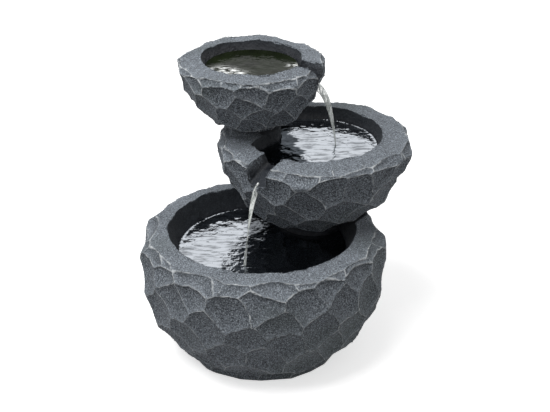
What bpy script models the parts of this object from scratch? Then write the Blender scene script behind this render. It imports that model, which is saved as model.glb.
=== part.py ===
"""Three-bowl cascading garden fountain, chiselled stone-effect resin, with its pump and pipework.

Metres, +Z up. The origin is on the lower bowl's own axis, at the face that stands on the ground.
The lower bowl holds the pump. The middle and top bowls stand on it and lift straight off.
"""
import bmesh
import bpy
from math import asin, atan2, cos, hypot, pi, radians, sin, sqrt
from mathutils import Matrix, Vector

# Fits
GAP = 0.0003            # two faces that meet
RUNNING = 0.0005        # between the turning rotor and its housing

# Lower bowl: a ball of resin cut flat at the foot and at the rim
LOWER_BALL = 0.2045
LOWER_CENTRE_Z = 0.1553
LOWER_LIP_Z = 0.2198
LOWER_LIP_RADIUS = 0.1561
LOWER_RIM_EDGE_Z = 0.2122
LOWER_FLOOR_Z = 0.045
LOWER_FLOOR_RADIUS = 0.108
LOWER_WATER_Z = 0.180
LOWER_WATER_RADIUS = 0.137
LOWER_FACETS = 166
LOWER_RIM_FACETS = 15

# Middle bowl
MIDDLE_AXIS = Vector((0.0853, 0.0898, 0.0))
MIDDLE_BALL = 0.1650
MIDDLE_CENTRE_Z = 0.3467
MIDDLE_FOOT_Z = 0.1900
MIDDLE_LIP_Z = 0.3500
MIDDLE_LIP_RADIUS = 0.1154
MIDDLE_RIM_EDGE_Z = 0.3434
MIDDLE_FLOOR_Z = 0.2830
MIDDLE_FLOOR_RADIUS = 0.0850
MIDDLE_WATER_Z = 0.3250
MIDDLE_WATER_RADIUS = 0.1065
MIDDLE_FACETS = 128
MIDDLE_RIM_FACETS = 13

# Top bowl
TOP_AXIS = Vector((-0.0175, 0.1212, 0.0))
TOP_BALL = 0.1245
TOP_CENTRE_Z = 0.4690
TOP_FOOT_Z = 0.3517
TOP_LIP_Z = 0.4721
TOP_LIP_RADIUS = 0.0841
TOP_RIM_EDGE_Z = 0.4684
TOP_FLOOR_Z = 0.4250
TOP_FLOOR_RADIUS = 0.0560
TOP_WATER_Z = 0.4575
TOP_WATER_RADIUS = 0.0785
TOP_FACETS = 110
TOP_RIM_FACETS = 11

# Chiselling: how far the flats lie under the ball, and how far each one is scooped out
FLAT_DEPTH = 0.0125
FLAT_DEPTH_SPREAD = 0.007
SCOOP_KEEP = 0.74
SCOOP_DEPTH = 0.040
FLAT_WANDER = 0.38
RIM_WANDER = 0.0018
CORNER_FLATS = 1.6        # flats round the rim's outer corner, for each flat on top of it
CORNER_CUT = 0.0022
CORNER_SPREAD = 0.0034
SHORT_EDGE = 0.0025
LEAST_SCOOP = 0.0010      # a flat smaller than this, in square metres, stays unscooped

# Walls of the hollow castings
WALL = 0.0110
CRUST = 0.0060           # what the deepest flats and scoops take from the ball
HOLLOW_TOP_Z = 0.110
HOLLOW_CORNER = 0.020
MIDDLE_HOLLOW_RADIUS = 0.118
SHOULDER_HOLLOW_RADIUS = 0.030
LOWER_DECK = 0.0330      # from the middle bowl's seat down to the roof of the pump alcove
MIDDLE_DECK = 0.0170
OVERCUT = 0.030          # how far a basin cutter runs on above its rim

# Pump housing under the middle bowl, and the shoulder in the middle bowl under the top bowl
HOUSING_RADIUS = 0.085
HOUSING_TOP_Z = 0.1660     # stays under water; a narrow neck rises from it
HOUSING_NECK_RADIUS = 0.0580
MIDDLE_SHOULDER_RADIUS = 0.050
FLANK_ANGLE = radians(205.7)       # where the flank leaves the middle basin's lip
FLANK_SINK = 0.004

# Spouts: direction, floor heights and widths
MIDDLE_SPOUT_ANGLE = radians(234.0)
MIDDLE_SPOUT_IN_Z = 0.3235
MIDDLE_SPOUT_OUT_Z = 0.3090
MIDDLE_SPOUT_FLOOR = 0.026
MIDDLE_SPOUT_MOUTH = 0.040
TOP_SPOUT_ANGLE = radians(-20.0)
TOP_SPOUT_IN_Z = 0.4560
TOP_SPOUT_OUT_Z = 0.4310
TOP_SPOUT_FLOOR = 0.022
TOP_SPOUT_MOUTH = 0.038
SPOUT_HEIGHT = 0.070

# Pump alcove in the housing, measured from the riser's axis
ALCOVE_BACK = 0.032
ALCOVE_FRONT = -0.058
ALCOVE_HALF_WIDTH = 0.034
ALCOVE_CORNER = 0.003
MOUTH_HALF_WIDTH = 0.030
MOUTH_HEIGHT = 0.080
MOUTH_REACH = 0.040
GRILLE_THICKNESS = 0.0034
GRILLE_CENTRE = -0.0645
GRILLE_HALF_WIDTH = 0.0377
GRILLE_HEIGHT = 0.090
GRILLE_BARS = 9
GRILLE_SLOT = 0.0040

# Plates that close the hollow castings
PLATE = 0.0040
BASE_FOOT_WALL = 0.0153
BASE_LEDGE = 0.0100
MIDDLE_FOOT_WALL = 0.0120
MIDDLE_LEDGE = 0.0090
TOP_FOOT_WALL = 0.0077
TOP_LEDGE = 0.0080

# Plate screws
SCREW_SHANK = 0.0016
SCREW_HEAD = 0.0032
SCREW_HEAD_HEIGHT = 0.0020
SCREW_LENGTH = 0.0110
SCREW_SINK = 0.0005

# Pipework
HOSE_OUTER = 0.0080
HOSE_BORE = 0.0055
PIPE_BORE = 0.0035
BARB_LENGTH = 0.0110
THREAD_RADIUS = 0.0085
FLANGE_RADIUS = 0.0138
FLANGE = 0.0030
WASHER = 0.0015
SPIGOT_RADIUS = 0.0065
SPIGOT_LENGTH = 0.0180
SPIGOT_CHAMFER = 0.0012
NUT_RADIUS = 0.0150
NUT = 0.0055
SOCKET_WALL = 0.0030
CLIP_WALL = 0.0014
CLIP_WIDTH = 0.0060
CLIP_LUG = 0.0055
HOSE_BEND = 0.030
HOSE_LEVEL_Z = 0.2560

OUTLET_DOME = 0.0130
OUTLET_PORT = 0.0018

# Pump, measured from the riser's axis on the basin floor
PUMP_AXIS_Z = 0.0283
MOTOR_FRONT = 0.0040
MOTOR_LENGTH = 0.0240
MOTOR_WIDTH = 0.0400
MOTOR_HEIGHT = 0.0400
MOTOR_CORNER = 0.0030
VOLUTE_ROOT = 0.0020      # how far the volute runs into the motor block
VOLUTE_RADIUS = 0.0185
VOLUTE_FRONT = -0.0120
CHAMBER_RADIUS = 0.0140
CHAMBER_FLOOR = -0.0020
GROOVE_DEPTH = 0.0012
GROOVE_INNER_LIP = 0.0012
GROOVE_OUTER_LIP = 0.0014
MAGNET_RADIUS = 0.0080
ROTOR_END = 0.0200
IMPELLER_RADIUS = 0.0122
IMPELLER_DISC = 0.0020
IMPELLER_VANES = 6
VANE_HEIGHT = 0.0045
VANE_THICKNESS = 0.0014
VANE_TIP_GAP = 0.0004
HUB_WALL = 0.0020
SHAFT_RADIUS = 0.0010
BUSH_LENGTH = 0.0030
OUTLET_TOP = 0.0700
COVER_PLATE = 0.0022
COVER_WALL = 0.0016
COVER_FRONT = -0.0300
COVER_BACK = -0.0072
COVER_CORNER = 0.0015
DIAL_RADIUS = 0.0080
DIAL_HEIGHT = 0.0042
DIAL_STEM = 0.0020
DIAL_CHAMFER = 0.0010
POINTER_HALF_WIDTH = 0.0012
POINTER_HEIGHT = 0.0020
COVER_SLOT = 0.0020
COVER_SLOT_ROWS = (-0.0155, -0.0120, 0.0120, 0.0155)
INLET_HOLES = 6
INLET_RADIUS = 0.0024
INLET_CIRCLE = 0.0080
CUP_RADIUS = 0.0060
CUP_HEIGHT = 0.0080
CUP_STEM = 0.0018
CUP_STEM_TOP = 0.0112
CUP_SPREAD = 0.0130

# Lead gland in the back of the lower bowl
GLAND_Z = 0.1400
GLAND_RADIUS = 0.0050
GLAND_BORE = 0.0028
GLAND_FLANGE = 0.0085
GLAND_LENGTH = 0.0230
GLAND_SUNK = 0.0075
GLAND_HEAD = 0.0050
GLAND_CHAMFER = 0.0025

# Number of flats on a round piece
FINE = 36
MEDIUM = 24
ROUND = 26
SMALL = 12

OUT_ANGLE = atan2(MIDDLE_AXIS.y, MIDDLE_AXIS.x)
BASE_PLATE_RADIUS = sqrt(LOWER_BALL ** 2 - LOWER_CENTRE_Z ** 2) - BASE_FOOT_WALL
MIDDLE_PLATE_RADIUS = sqrt(MIDDLE_BALL ** 2 - (MIDDLE_CENTRE_Z - MIDDLE_FOOT_Z) ** 2) - MIDDLE_FOOT_WALL
TOP_PLATE_RADIUS = sqrt(TOP_BALL ** 2 - (TOP_CENTRE_Z - TOP_FOOT_Z) ** 2) - TOP_FOOT_WALL
GOLDEN_ANGLE = pi * (3.0 - sqrt(5.0))


def clear_scene():
    """Start from nothing."""
    for thing in list(bpy.data.objects):
        bpy.data.objects.remove(thing, do_unlink=True)


def new_collection(name):
    """One collection under the scene's own."""
    group = bpy.data.collections.new(name)
    bpy.context.scene.collection.children.link(group)
    return group


def material(name, colour, roughness, metallic=0.0):
    """One Principled material."""
    mat = bpy.data.materials.new(name)
    mat.use_nodes = True
    shader = mat.node_tree.nodes["Principled BSDF"]
    shader.inputs["Base Color"].default_value = (*colour, 1.0)
    shader.inputs["Roughness"].default_value = roughness
    shader.inputs["Metallic"].default_value = metallic
    mat.diffuse_color = (*colour, 1.0)
    return mat


clear_scene()
PARTS = new_collection("solar_garden_fountain")
CUTTERS = new_collection("cutters")

STONE = material("stone_resin", (0.075, 0.08, 0.09), 0.85)
PLATE_PLASTIC = material("black_plate", (0.03, 0.03, 0.033), 0.6)
PUMP_PLASTIC = material("pump_plastic", (0.02, 0.02, 0.022), 0.45)
FITTING_PLASTIC = material("fitting_plastic", (0.05, 0.05, 0.055), 0.4)
HOSE_VINYL = material("clear_hose", (0.45, 0.48, 0.46), 0.25)
RUBBER = material("black_rubber", (0.02, 0.02, 0.02), 0.8)
STEEL = material("stainless_steel", (0.6, 0.6, 0.6), 0.3, 1.0)
CERAMIC = material("white_ceramic", (0.85, 0.84, 0.8), 0.25)
FOAM = material("filter_foam", (0.05, 0.055, 0.06), 1.0)
ROTOR = material("rotor_plastic", (0.12, 0.13, 0.16), 0.5)


def link(thing, mat=None):
    """Put a solid among the parts, or, with no material, among the cutters."""
    if mat is None:
        CUTTERS.objects.link(thing)
        thing.hide_render = True
        thing.display_type = "WIRE"
        return thing
    PARTS.objects.link(thing)
    thing.data.materials.append(mat)
    return thing


def mesh_object(name, bm, mat=None, place=(0.0, 0.0, 0.0), turn=(0.0, 0.0, 0.0)):
    """Make an object of a bmesh at its place."""
    mesh = bpy.data.meshes.new(name)
    bm.to_mesh(mesh)
    bm.free()
    thing = bpy.data.objects.new(name, mesh)
    thing.location = place
    thing.rotation_euler = turn
    return link(thing, mat)


def box(name, low, high, mat=None, place=(0.0, 0.0, 0.0), turn=(0.0, 0.0, 0.0)):
    """A box between two corners."""
    bm = bmesh.new()
    bmesh.ops.create_cube(bm, size=1.0)
    low = Vector(low)
    high = Vector(high)
    size = high - low
    bmesh.ops.scale(bm, vec=size, verts=bm.verts)
    bmesh.ops.translate(bm, vec=(low + high) / 2.0, verts=bm.verts)
    return mesh_object(name, bm, mat, place, turn)


def turned(name, profile, mat=None, place=(0.0, 0.0, 0.0), turn=(0.0, 0.0, 0.0), steps=SMALL, ring=False):
    """Turn a profile of (radius, height) points about Z. A ring's profile closes on itself."""
    bm = bmesh.new()
    points = [bm.verts.new((radius, 0.0, height)) for radius, height in profile]
    for start, end in zip(points, points[1:]):
        bm.edges.new((start, end))
    if ring:
        bm.edges.new((points[-1], points[0]))
    thing = mesh_object(name, bm, mat, place, turn)
    screw = thing.modifiers.new("turn", "SCREW")
    screw.axis = "Z"
    screw.steps = steps
    screw.render_steps = steps
    screw.use_merge_vertices = True
    screw.merge_threshold = 0.00002
    screw.use_smooth_shade = False
    return thing


def rod(name, radius, low, high, mat=None, place=(0.0, 0.0, 0.0), turn=(0.0, 0.0, 0.0), steps=SMALL):
    """A plain round bar along its own Z."""
    profile = [(0.0, high), (radius, high), (radius, low), (0.0, low)]
    return turned(name, profile, mat, place, turn, steps)


def tube(name, outer, bore, low, high, mat=None, place=(0.0, 0.0, 0.0), turn=(0.0, 0.0, 0.0), steps=SMALL):
    """A plain tube or ring along its own Z."""
    profile = [(bore, high), (outer, high), (outer, low), (bore, low)]
    return turned(name, profile, mat, place, turn, steps, ring=True)


def drills(name, spots, radius, low, high, steps=SMALL):
    """One cutter of several upright round bars."""
    bm = bmesh.new()
    for x, y in spots:
        place = Matrix.Translation((x, y, (low + high) / 2.0))
        bmesh.ops.create_cone(
            bm, cap_ends=True, segments=steps, radius1=radius, radius2=radius,
            depth=high - low, matrix=place)
    return mesh_object(name, bm)


def boolean(thing, tool, operation="DIFFERENCE"):
    """Cut a piece with a tool, or join the tool to it."""
    step = thing.modifiers.new(operation.lower(), "BOOLEAN")
    step.operation = operation
    step.solver = "EXACT"
    step.object = tool
    return thing


def rounded(thing, width, segments=2):
    """Round the edges of a box."""
    bevel = thing.modifiers.new("round", "BEVEL")
    bevel.width = width
    bevel.segments = segments
    bevel.limit_method = "ANGLE"
    return thing


def ring_spots(centre, radius, count, start=0.0):
    """Points spaced evenly on a circle."""
    spots = []
    for index in range(count):
        angle = start + 2.0 * pi * index / count
        spots.append((centre.x + radius * cos(angle), centre.y + radius * sin(angle)))
    return spots


def wander(index, lane):
    """A repeatable number from -1 to 1, for work that a hand did by eye."""
    value = sin(index * 12.9898 + lane * 78.233) * 43758.5453
    return 2.0 * (value - int(value // 1)) - 1.0


def chisel_flats(centre_z, ball, foot_z, lip_z, lip_radius, edge_z, facets, rim_facets, phase):
    """Planes (point, normal) of every chisel flat, about an upright axis through the origin."""
    flats = []
    centre = Vector((0.0, 0.0, centre_z))
    spacing = sqrt(4.0 * pi / facets)
    for index in range(facets):
        height = 1.0 - 2.0 * (index + 0.5) / facets
        height += FLAT_WANDER * spacing * wander(index, phase) * 0.5
        height = max(-1.0, min(1.0, height))
        spread = sqrt(max(0.0, 1.0 - height * height))
        angle = index * GOLDEN_ANGLE + phase
        angle += FLAT_WANDER * spacing * wander(index, phase + 1.0) * 0.5 / max(spread, spacing)
        normal = Vector((cos(angle) * spread, sin(angle) * spread, height))
        depth = FLAT_DEPTH + FLAT_DEPTH_SPREAD * wander(index, phase + 2.0)
        touch = centre + normal * ball * (1.0 - depth)
        if foot_z - ball * 0.10 < touch.z < edge_z:
            flats.append((touch, normal))
    slope = atan2(lip_z - edge_z, ball - lip_radius)
    for index in range(rim_facets):
        angle = 2.0 * pi * (index + 0.35 * wander(index, phase + 3.0)) / rim_facets + phase
        tilt = slope * (1.0 + 0.25 * wander(index, phase + 4.0))
        normal = Vector((cos(angle) * sin(tilt), sin(angle) * sin(tilt), cos(tilt)))
        rise = RIM_WANDER * (wander(index, phase + 5.0) - 1.0)
        touch = Vector((lip_radius * cos(angle), lip_radius * sin(angle), lip_z + rise))
        flats.append((touch, normal))
    edge_radius = sqrt(ball * ball - (edge_z - centre_z) ** 2)
    corner_flats = int(rim_facets * CORNER_FLATS)
    for index in range(corner_flats):
        angle = 2.0 * pi * (index + 0.35 * wander(index, phase + 6.0)) / corner_flats + phase
        tilt = pi / 4.0 * (1.0 + 0.22 * wander(index, phase + 7.0))
        normal = Vector((cos(angle) * sin(tilt), sin(angle) * sin(tilt), cos(tilt)))
        corner = Vector((edge_radius * cos(angle), edge_radius * sin(angle), edge_z))
        flats.append((corner - normal * (CORNER_CUT + CORNER_SPREAD * wander(index, phase + 8.0)), normal))
    return flats


def chiselled(name, flats, ball, centre_z, foot_z, top_z, mat, place, grow=0.0, scoop=True):
    """Cut a block down flat by flat, then scoop each flat out a little, as a chisel does."""
    bm = bmesh.new()
    bmesh.ops.create_cube(bm, size=2.4 * ball)
    bmesh.ops.translate(bm, vec=(0.0, 0.0, centre_z), verts=bm.verts)
    ends = [(Vector((0.0, 0.0, foot_z)), Vector((0.0, 0.0, -1.0)))]
    ends.append((Vector((0.0, 0.0, top_z)), Vector((0.0, 0.0, 1.0))))
    for point, normal in flats + ends:
        everything = bm.verts[:] + bm.edges[:] + bm.faces[:]
        bmesh.ops.bisect_plane(
            bm, geom=everything, dist=1e-6, plane_co=point + normal * grow,
            plane_no=normal, clear_outer=True)
        rim = [edge for edge in bm.edges if edge.is_boundary]
        if rim:
            bmesh.ops.edgeloop_fill(bm, edges=rim)
    bmesh.ops.dissolve_degenerate(bm, edges=bm.edges, dist=SHORT_EDGE)
    bmesh.ops.recalc_face_normals(bm, faces=bm.faces)
    if scoop:
        worked = [
            face for face in bm.faces
            if abs(face.normal.z) < 0.9995 and face.calc_area() > LEAST_SCOOP]
        floors = bmesh.ops.extrude_discrete_faces(bm, faces=worked)["faces"]
        for floor in floors:
            middle = floor.calc_center_median()
            sink = floor.normal * SCOOP_DEPTH * sqrt(floor.calc_area())
            for vert in floor.verts:
                vert.co = middle + (vert.co - middle) * SCOOP_KEEP - sink
    bmesh.ops.recalc_face_normals(bm, faces=bm.faces)
    return mesh_object(name, bm, mat, place)


def basin_profile(lip_radius, lip_z, water_radius, water_z, floor_radius, floor_z, grow=0.0):
    """Outline of a basin, from above the rim down its side to the middle of its floor."""
    slope = (lip_radius - water_radius) / (lip_z - water_z)
    turn_radius = floor_radius + (water_radius - floor_radius) * 0.55
    turn_z = floor_z + (water_z - floor_z) * 0.22
    outline = [(0.0, lip_z + OVERCUT), (lip_radius + slope * OVERCUT + grow, lip_z + OVERCUT)]
    outline.append((lip_radius + grow, lip_z))
    outline.append((water_radius + grow, water_z))
    outline.append((turn_radius + grow, turn_z))
    outline.append((floor_radius + grow * 0.6, floor_z - grow))
    outline.append((0.0, floor_z - grow))
    return outline


def ball_outline(ball, centre_z, low_z, high_z, count=5):
    """Side of a ball between two heights, top to bottom."""
    outline = []
    for index in range(count + 1):
        height = high_z + (low_z - high_z) * index / count
        outline.append((sqrt(max(0.0, ball * ball - (height - centre_z) ** 2)), height))
    return outline


def spout(name, axis, angle, lip_radius, in_z, ball, out_z, floor_width, mouth_width):
    """Cutter for a pouring channel: a trough that runs out and down through the rim."""
    run = ball - lip_radius
    pitch = atan2(in_z - out_z, run)
    length = 2.4 * run / cos(pitch)
    bm = bmesh.new()
    bmesh.ops.create_cube(bm, size=1.0)
    bmesh.ops.scale(bm, vec=(length, floor_width, SPOUT_HEIGHT), verts=bm.verts)
    bmesh.ops.translate(bm, vec=(0.0, 0.0, SPOUT_HEIGHT / 2.0), verts=bm.verts)
    for vert in bm.verts:
        if vert.co.z > SPOUT_HEIGHT / 2.0:
            vert.co.y *= (mouth_width + (mouth_width - floor_width)) / floor_width
    middle = lip_radius + run / 2.0
    place = axis + Vector((middle * cos(angle), middle * sin(angle), (in_z + out_z) / 2.0))
    return mesh_object(name, bm, None, place, (0.0, pitch, angle))


# Lower bowl
lower_flats = chisel_flats(
    LOWER_CENTRE_Z, LOWER_BALL, 0.0, LOWER_LIP_Z, LOWER_LIP_RADIUS, LOWER_RIM_EDGE_Z,
    LOWER_FACETS, LOWER_RIM_FACETS, 0.4)
middle_flats = chisel_flats(
    MIDDLE_CENTRE_Z, MIDDLE_BALL, MIDDLE_FOOT_Z, MIDDLE_LIP_Z, MIDDLE_LIP_RADIUS,
    MIDDLE_RIM_EDGE_Z, MIDDLE_FACETS, MIDDLE_RIM_FACETS, 1.7)
top_flats = chisel_flats(
    TOP_CENTRE_Z, TOP_BALL, TOP_FOOT_Z, TOP_LIP_Z, TOP_LIP_RADIUS, TOP_RIM_EDGE_Z,
    TOP_FACETS, TOP_RIM_FACETS, 2.9)

lower_bowl = chiselled(
    "lower_bowl", lower_flats, LOWER_BALL, LOWER_CENTRE_Z, 0.0, LOWER_LIP_Z, STONE, (0.0, 0.0, 0.0))

lower_seat_z = MIDDLE_FOOT_Z - GAP
alcove_roof_z = lower_seat_z - LOWER_DECK
pump_place = MIDDLE_AXIS + Vector((0.0, 0.0, LOWER_FLOOR_Z))
pump_turn = (0.0, 0.0, OUT_ANGLE)

lower_basin = turned(
    "cut_lower_basin",
    basin_profile(
        LOWER_LIP_RADIUS, LOWER_LIP_Z, LOWER_WATER_RADIUS, LOWER_WATER_Z,
        LOWER_FLOOR_RADIUS, LOWER_FLOOR_Z),
    steps=FINE)

# Pump housing: a hood cast to the basin's back wall, with a neck that carries the middle bowl
pump_housing = turned(
    "pump_housing",
    [(0.0, lower_seat_z), (HOUSING_NECK_RADIUS, lower_seat_z), (HOUSING_NECK_RADIUS, HOUSING_TOP_Z),
     (HOUSING_RADIUS, HOUSING_TOP_Z), (HOUSING_RADIUS, LOWER_FLOOR_Z - WALL),
     (0.0, LOWER_FLOOR_Z - WALL)],
    STONE, MIDDLE_AXIS, steps=MEDIUM)
basin_room = turned(
    "keep_basin_room",
    basin_profile(
        LOWER_LIP_RADIUS, LOWER_LIP_Z, LOWER_WATER_RADIUS, LOWER_WATER_Z,
        LOWER_FLOOR_RADIUS, LOWER_FLOOR_Z, grow=-GAP),
    steps=FINE)
boolean(pump_housing, basin_room, "INTERSECT")

alcove = rounded(
    box(
        "cut_alcove", (ALCOVE_FRONT, -ALCOVE_HALF_WIDTH, 0.0),
        (ALCOVE_BACK, ALCOVE_HALF_WIDTH, alcove_roof_z - LOWER_FLOOR_Z),
        place=pump_place, turn=pump_turn),
    ALCOVE_CORNER)
mouth = box(
    "cut_mouth", (ALCOVE_FRONT - MOUTH_REACH, -MOUTH_HALF_WIDTH, 0.0),
    (ALCOVE_FRONT + ALCOVE_CORNER * 2.0, MOUTH_HALF_WIDTH, MOUTH_HEIGHT),
    place=pump_place, turn=pump_turn)
grille_slot = box(
    "cut_grille_slot",
    (GRILLE_CENTRE - GRILLE_THICKNESS / 2.0 - GAP, -GRILLE_HALF_WIDTH - GAP, 0.0),
    (GRILLE_CENTRE + GRILLE_THICKNESS / 2.0 + GAP, GRILLE_HALF_WIDTH + GAP, LOWER_LIP_Z),
    place=pump_place, turn=pump_turn)
saddle = chiselled(
    "cut_saddle", middle_flats, MIDDLE_BALL, MIDDLE_CENTRE_Z, MIDDLE_FOOT_Z, MIDDLE_LIP_Z, None,
    MIDDLE_AXIS, grow=GAP, scoop=False)

# The hollow under the basin: the ball less its wall, less the basin and the alcove with theirs
hollow_ball = LOWER_BALL * (1.0 - FLAT_DEPTH) - WALL - CRUST
hollow_outline = [(0.0, HOLLOW_TOP_Z)]
hollow_outline += ball_outline(hollow_ball, LOWER_CENTRE_Z, PLATE + GAP * 2.0 + HOLLOW_CORNER, HOLLOW_TOP_Z)
hollow_outline.append((BASE_PLATE_RADIUS + GAP - BASE_LEDGE, PLATE + GAP * 2.0))
hollow_outline.append((BASE_PLATE_RADIUS + GAP - BASE_LEDGE, -WALL))
hollow_outline.append((0.0, -WALL))
lower_hollow = turned("cut_lower_hollow", hollow_outline, steps=MEDIUM)
basin_skin = turned(
    "keep_basin_skin",
    basin_profile(
        LOWER_LIP_RADIUS, LOWER_LIP_Z, LOWER_WATER_RADIUS, LOWER_WATER_Z,
        LOWER_FLOOR_RADIUS, LOWER_FLOOR_Z, grow=WALL),
    turn=(0.0, 0.0, pi / MEDIUM), steps=MEDIUM)
alcove_skin = box(
    "keep_alcove_skin",
    (ALCOVE_FRONT - MOUTH_REACH, -ALCOVE_HALF_WIDTH - WALL, -WALL - CRUST),
    (ALCOVE_BACK + WALL, ALCOVE_HALF_WIDTH + WALL, LOWER_LIP_Z),
    place=pump_place, turn=pump_turn)
boolean(lower_hollow, basin_skin)
boolean(lower_hollow, alcove_skin)
base_rebate = rod("cut_base_rebate", BASE_PLATE_RADIUS + GAP, -WALL, PLATE + GAP * 2.0, steps=FINE)
base_screws = ring_spots(Vector((0.0, 0.0, 0.0)), BASE_PLATE_RADIUS - BASE_LEDGE / 2.0, 4, pi / 4.0)


def screw_profile(face_z):
    """A pan-head screw driven upwards from a face."""
    low = face_z + SCREW_SINK
    head = low + SCREW_HEAD_HEIGHT
    return [
        (0.0, low + SCREW_LENGTH), (SCREW_SHANK, low + SCREW_LENGTH), (SCREW_SHANK, head),
        (SCREW_HEAD, head), (SCREW_HEAD, low), (0.0, low)]


def screwed_plate(name, centre, radius, face_z, spots, bowl, hole_radius=0.0, steps=MEDIUM):
    """A round plate held up against a ledge by screws, which also drill their holes."""
    low = face_z + GAP
    if hole_radius:
        plate = tube(name, radius, hole_radius, low, low + PLATE, PLATE_PLASTIC, centre, steps=steps)
    else:
        plate = rod(name, radius, 0.0, PLATE, PLATE_PLASTIC, centre, steps=steps)
    heads = drills(
        "cut_" + name + "_heads", spots, SCREW_HEAD + GAP, face_z - WALL,
        face_z + SCREW_SINK + SCREW_HEAD_HEIGHT + GAP, steps=10)
    pilots = drills(
        "cut_" + name + "_pilots", spots, SCREW_SHANK + GAP, face_z - WALL,
        face_z + SCREW_SINK + SCREW_LENGTH + GAP, steps=8)
    boolean(plate, heads)
    boolean(plate, pilots)
    boolean(bowl, pilots)
    for index, (x, y) in enumerate(spots):
        turned(
            name.replace("plate", "screw") + "_" + str(index + 1), screw_profile(face_z), STEEL,
            (x, y, 0.0), steps=8)
    return plate


def deck_holes(name, axis, deck_top, deck_bottom):
    """Cutter for a fitting: a bore through a deck and a sunk ring for the flange."""
    sunk = deck_top - WASHER - FLANGE - GAP * 4.0
    outline = [
        (0.0, deck_top + WALL), (FLANGE_RADIUS + GAP * 2.0, deck_top + WALL),
        (FLANGE_RADIUS + GAP * 2.0, sunk), (THREAD_RADIUS + GAP, sunk),
        (THREAD_RADIUS + GAP, deck_bottom - WALL), (0.0, deck_bottom - WALL)]
    return turned(name, outline, place=axis)


def hex_nut(name, axis, top_z):
    """A six-sided nut on a fitting's thread, chamfered at its lower face."""
    bm = bmesh.new()
    place = Matrix.Translation((0.0, 0.0, top_z - NUT / 2.0))
    bmesh.ops.create_cone(
        bm, cap_ends=True, segments=6, radius1=NUT_RADIUS * 0.94, radius2=NUT_RADIUS,
        depth=NUT, matrix=place)
    nut = mesh_object(name, bm, FITTING_PLASTIC, axis)
    bore = rod("cut_" + name, THREAD_RADIUS + GAP, top_z - NUT * 2.0, top_z + NUT, place=axis)
    return boolean(nut, bore)


def barb(top, bottom, radius, upright):
    """Side of a hose barb with two teeth, from top to bottom."""
    middle = (top + bottom) / 2.0
    lean = radius * 0.16
    if upright:
        return [(radius - lean, top), (radius, middle), (radius - lean, middle), (radius, bottom)]
    return [(radius, top), (radius - lean, middle), (radius, middle), (radius - lean, bottom)]


def deck_fitting(prefix, axis, deck_top, deck_bottom):
    """A bulkhead fitting: spigot above the deck, barb below it, washer and nut."""
    sunk = deck_top - WASHER - FLANGE - GAP * 4.0
    flange_low = sunk + WASHER + GAP * 2.0
    flange_top = flange_low + FLANGE
    thread_end = deck_bottom - GAP - NUT - GAP
    barb_radius = HOSE_BORE - GAP
    tip = flange_top + SPIGOT_LENGTH
    outline = [
        (PIPE_BORE, tip), (SPIGOT_RADIUS - SPIGOT_CHAMFER / 2.0, tip),
        (SPIGOT_RADIUS, tip - SPIGOT_CHAMFER)]
    outline += [(SPIGOT_RADIUS, flange_top), (FLANGE_RADIUS, flange_top), (FLANGE_RADIUS, flange_low)]
    outline += [(THREAD_RADIUS, flange_low), (THREAD_RADIUS, thread_end)]
    outline += barb(thread_end, thread_end - BARB_LENGTH, barb_radius, False)
    outline.append((PIPE_BORE, thread_end - BARB_LENGTH))
    turned(prefix + "_fitting", outline, FITTING_PLASTIC, axis, ring=True)
    tube(
        prefix + "_washer", FLANGE_RADIUS, THREAD_RADIUS + GAP, sunk + GAP, sunk + GAP + WASHER,
        RUBBER, axis)
    hex_nut(prefix + "_nut", axis, deck_bottom - GAP)
    return thread_end


def inlet_socket(prefix, axis, face_z, spigot_top):
    """A socket through a foot plate that drops over the spigot beneath, with its lip seal."""
    bore = SPIGOT_RADIUS + GAP
    outer = bore + SOCKET_WALL
    low = face_z + GAP * 2.0
    flange_low = face_z + GAP + PLATE + GAP
    shelf = spigot_top + GAP
    crown = shelf + FLANGE
    groove_low = low + FLANGE
    groove = bore + SOCKET_WALL * 0.5
    barb_top = crown + BARB_LENGTH
    outline = barb(barb_top, crown, HOSE_BORE - GAP, True)
    outline += [(outer, crown), (outer, flange_low + FLANGE), (FLANGE_RADIUS, flange_low + FLANGE)]
    outline += [(FLANGE_RADIUS, flange_low), (outer, flange_low), (outer, low), (bore, low)]
    outline += [(bore, groove_low), (groove, groove_low), (groove, groove_low + FLANGE)]
    outline += [(bore, groove_low + FLANGE), (bore, shelf), (PIPE_BORE, shelf), (PIPE_BORE, barb_top)]
    turned(prefix + "_inlet", outline, FITTING_PLASTIC, axis, ring=True)
    tube(
        prefix + "_inlet_seal", groove - GAP, bore, groove_low + GAP, groove_low + FLANGE - GAP,
        RUBBER, axis)
    return crown


def hose_clip(name, axis, low):
    """A spring band round a hose end, with its pinch lug."""
    inner = HOSE_OUTER + GAP
    outer = inner + CLIP_WALL
    band = tube(name, outer, inner, low, low + CLIP_WIDTH, STEEL, axis, turn=(0.0, 0.0, OUT_ANGLE))
    lug = box(
        "join_" + name, (inner + CLIP_WALL * 0.4, -CLIP_LUG / 2.0, low + CLIP_WIDTH * 0.15),
        (outer + CLIP_LUG, CLIP_LUG / 2.0, low + CLIP_WIDTH * 0.85), place=axis, turn=(0.0, 0.0, OUT_ANGLE))
    return boolean(band, lug, "UNION")


lower_fit_bore = deck_holes("cut_deck_fitting", MIDDLE_AXIS, lower_seat_z, alcove_roof_z)
gland_reach = hypot(MIDDLE_AXIS.x, MIDDLE_AXIS.y) + ALCOVE_BACK
gland_turn = (0.0, pi / 2.0, OUT_ANGLE)
gland_place = Vector((0.0, 0.0, GLAND_Z))
gland_hole = rod(
    "cut_gland", GLAND_RADIUS + GAP, gland_reach - WALL, LOWER_BALL + WALL, place=gland_place,
    turn=gland_turn)
gland_pocket_x = LOWER_BALL - FLAT_DEPTH * LOWER_BALL - GLAND_SUNK
gland_pocket = rod(
    "cut_gland_pocket", GLAND_FLANGE + GAP * 2.0, gland_pocket_x, LOWER_BALL + WALL,
    place=gland_place, turn=gland_turn)

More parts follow.
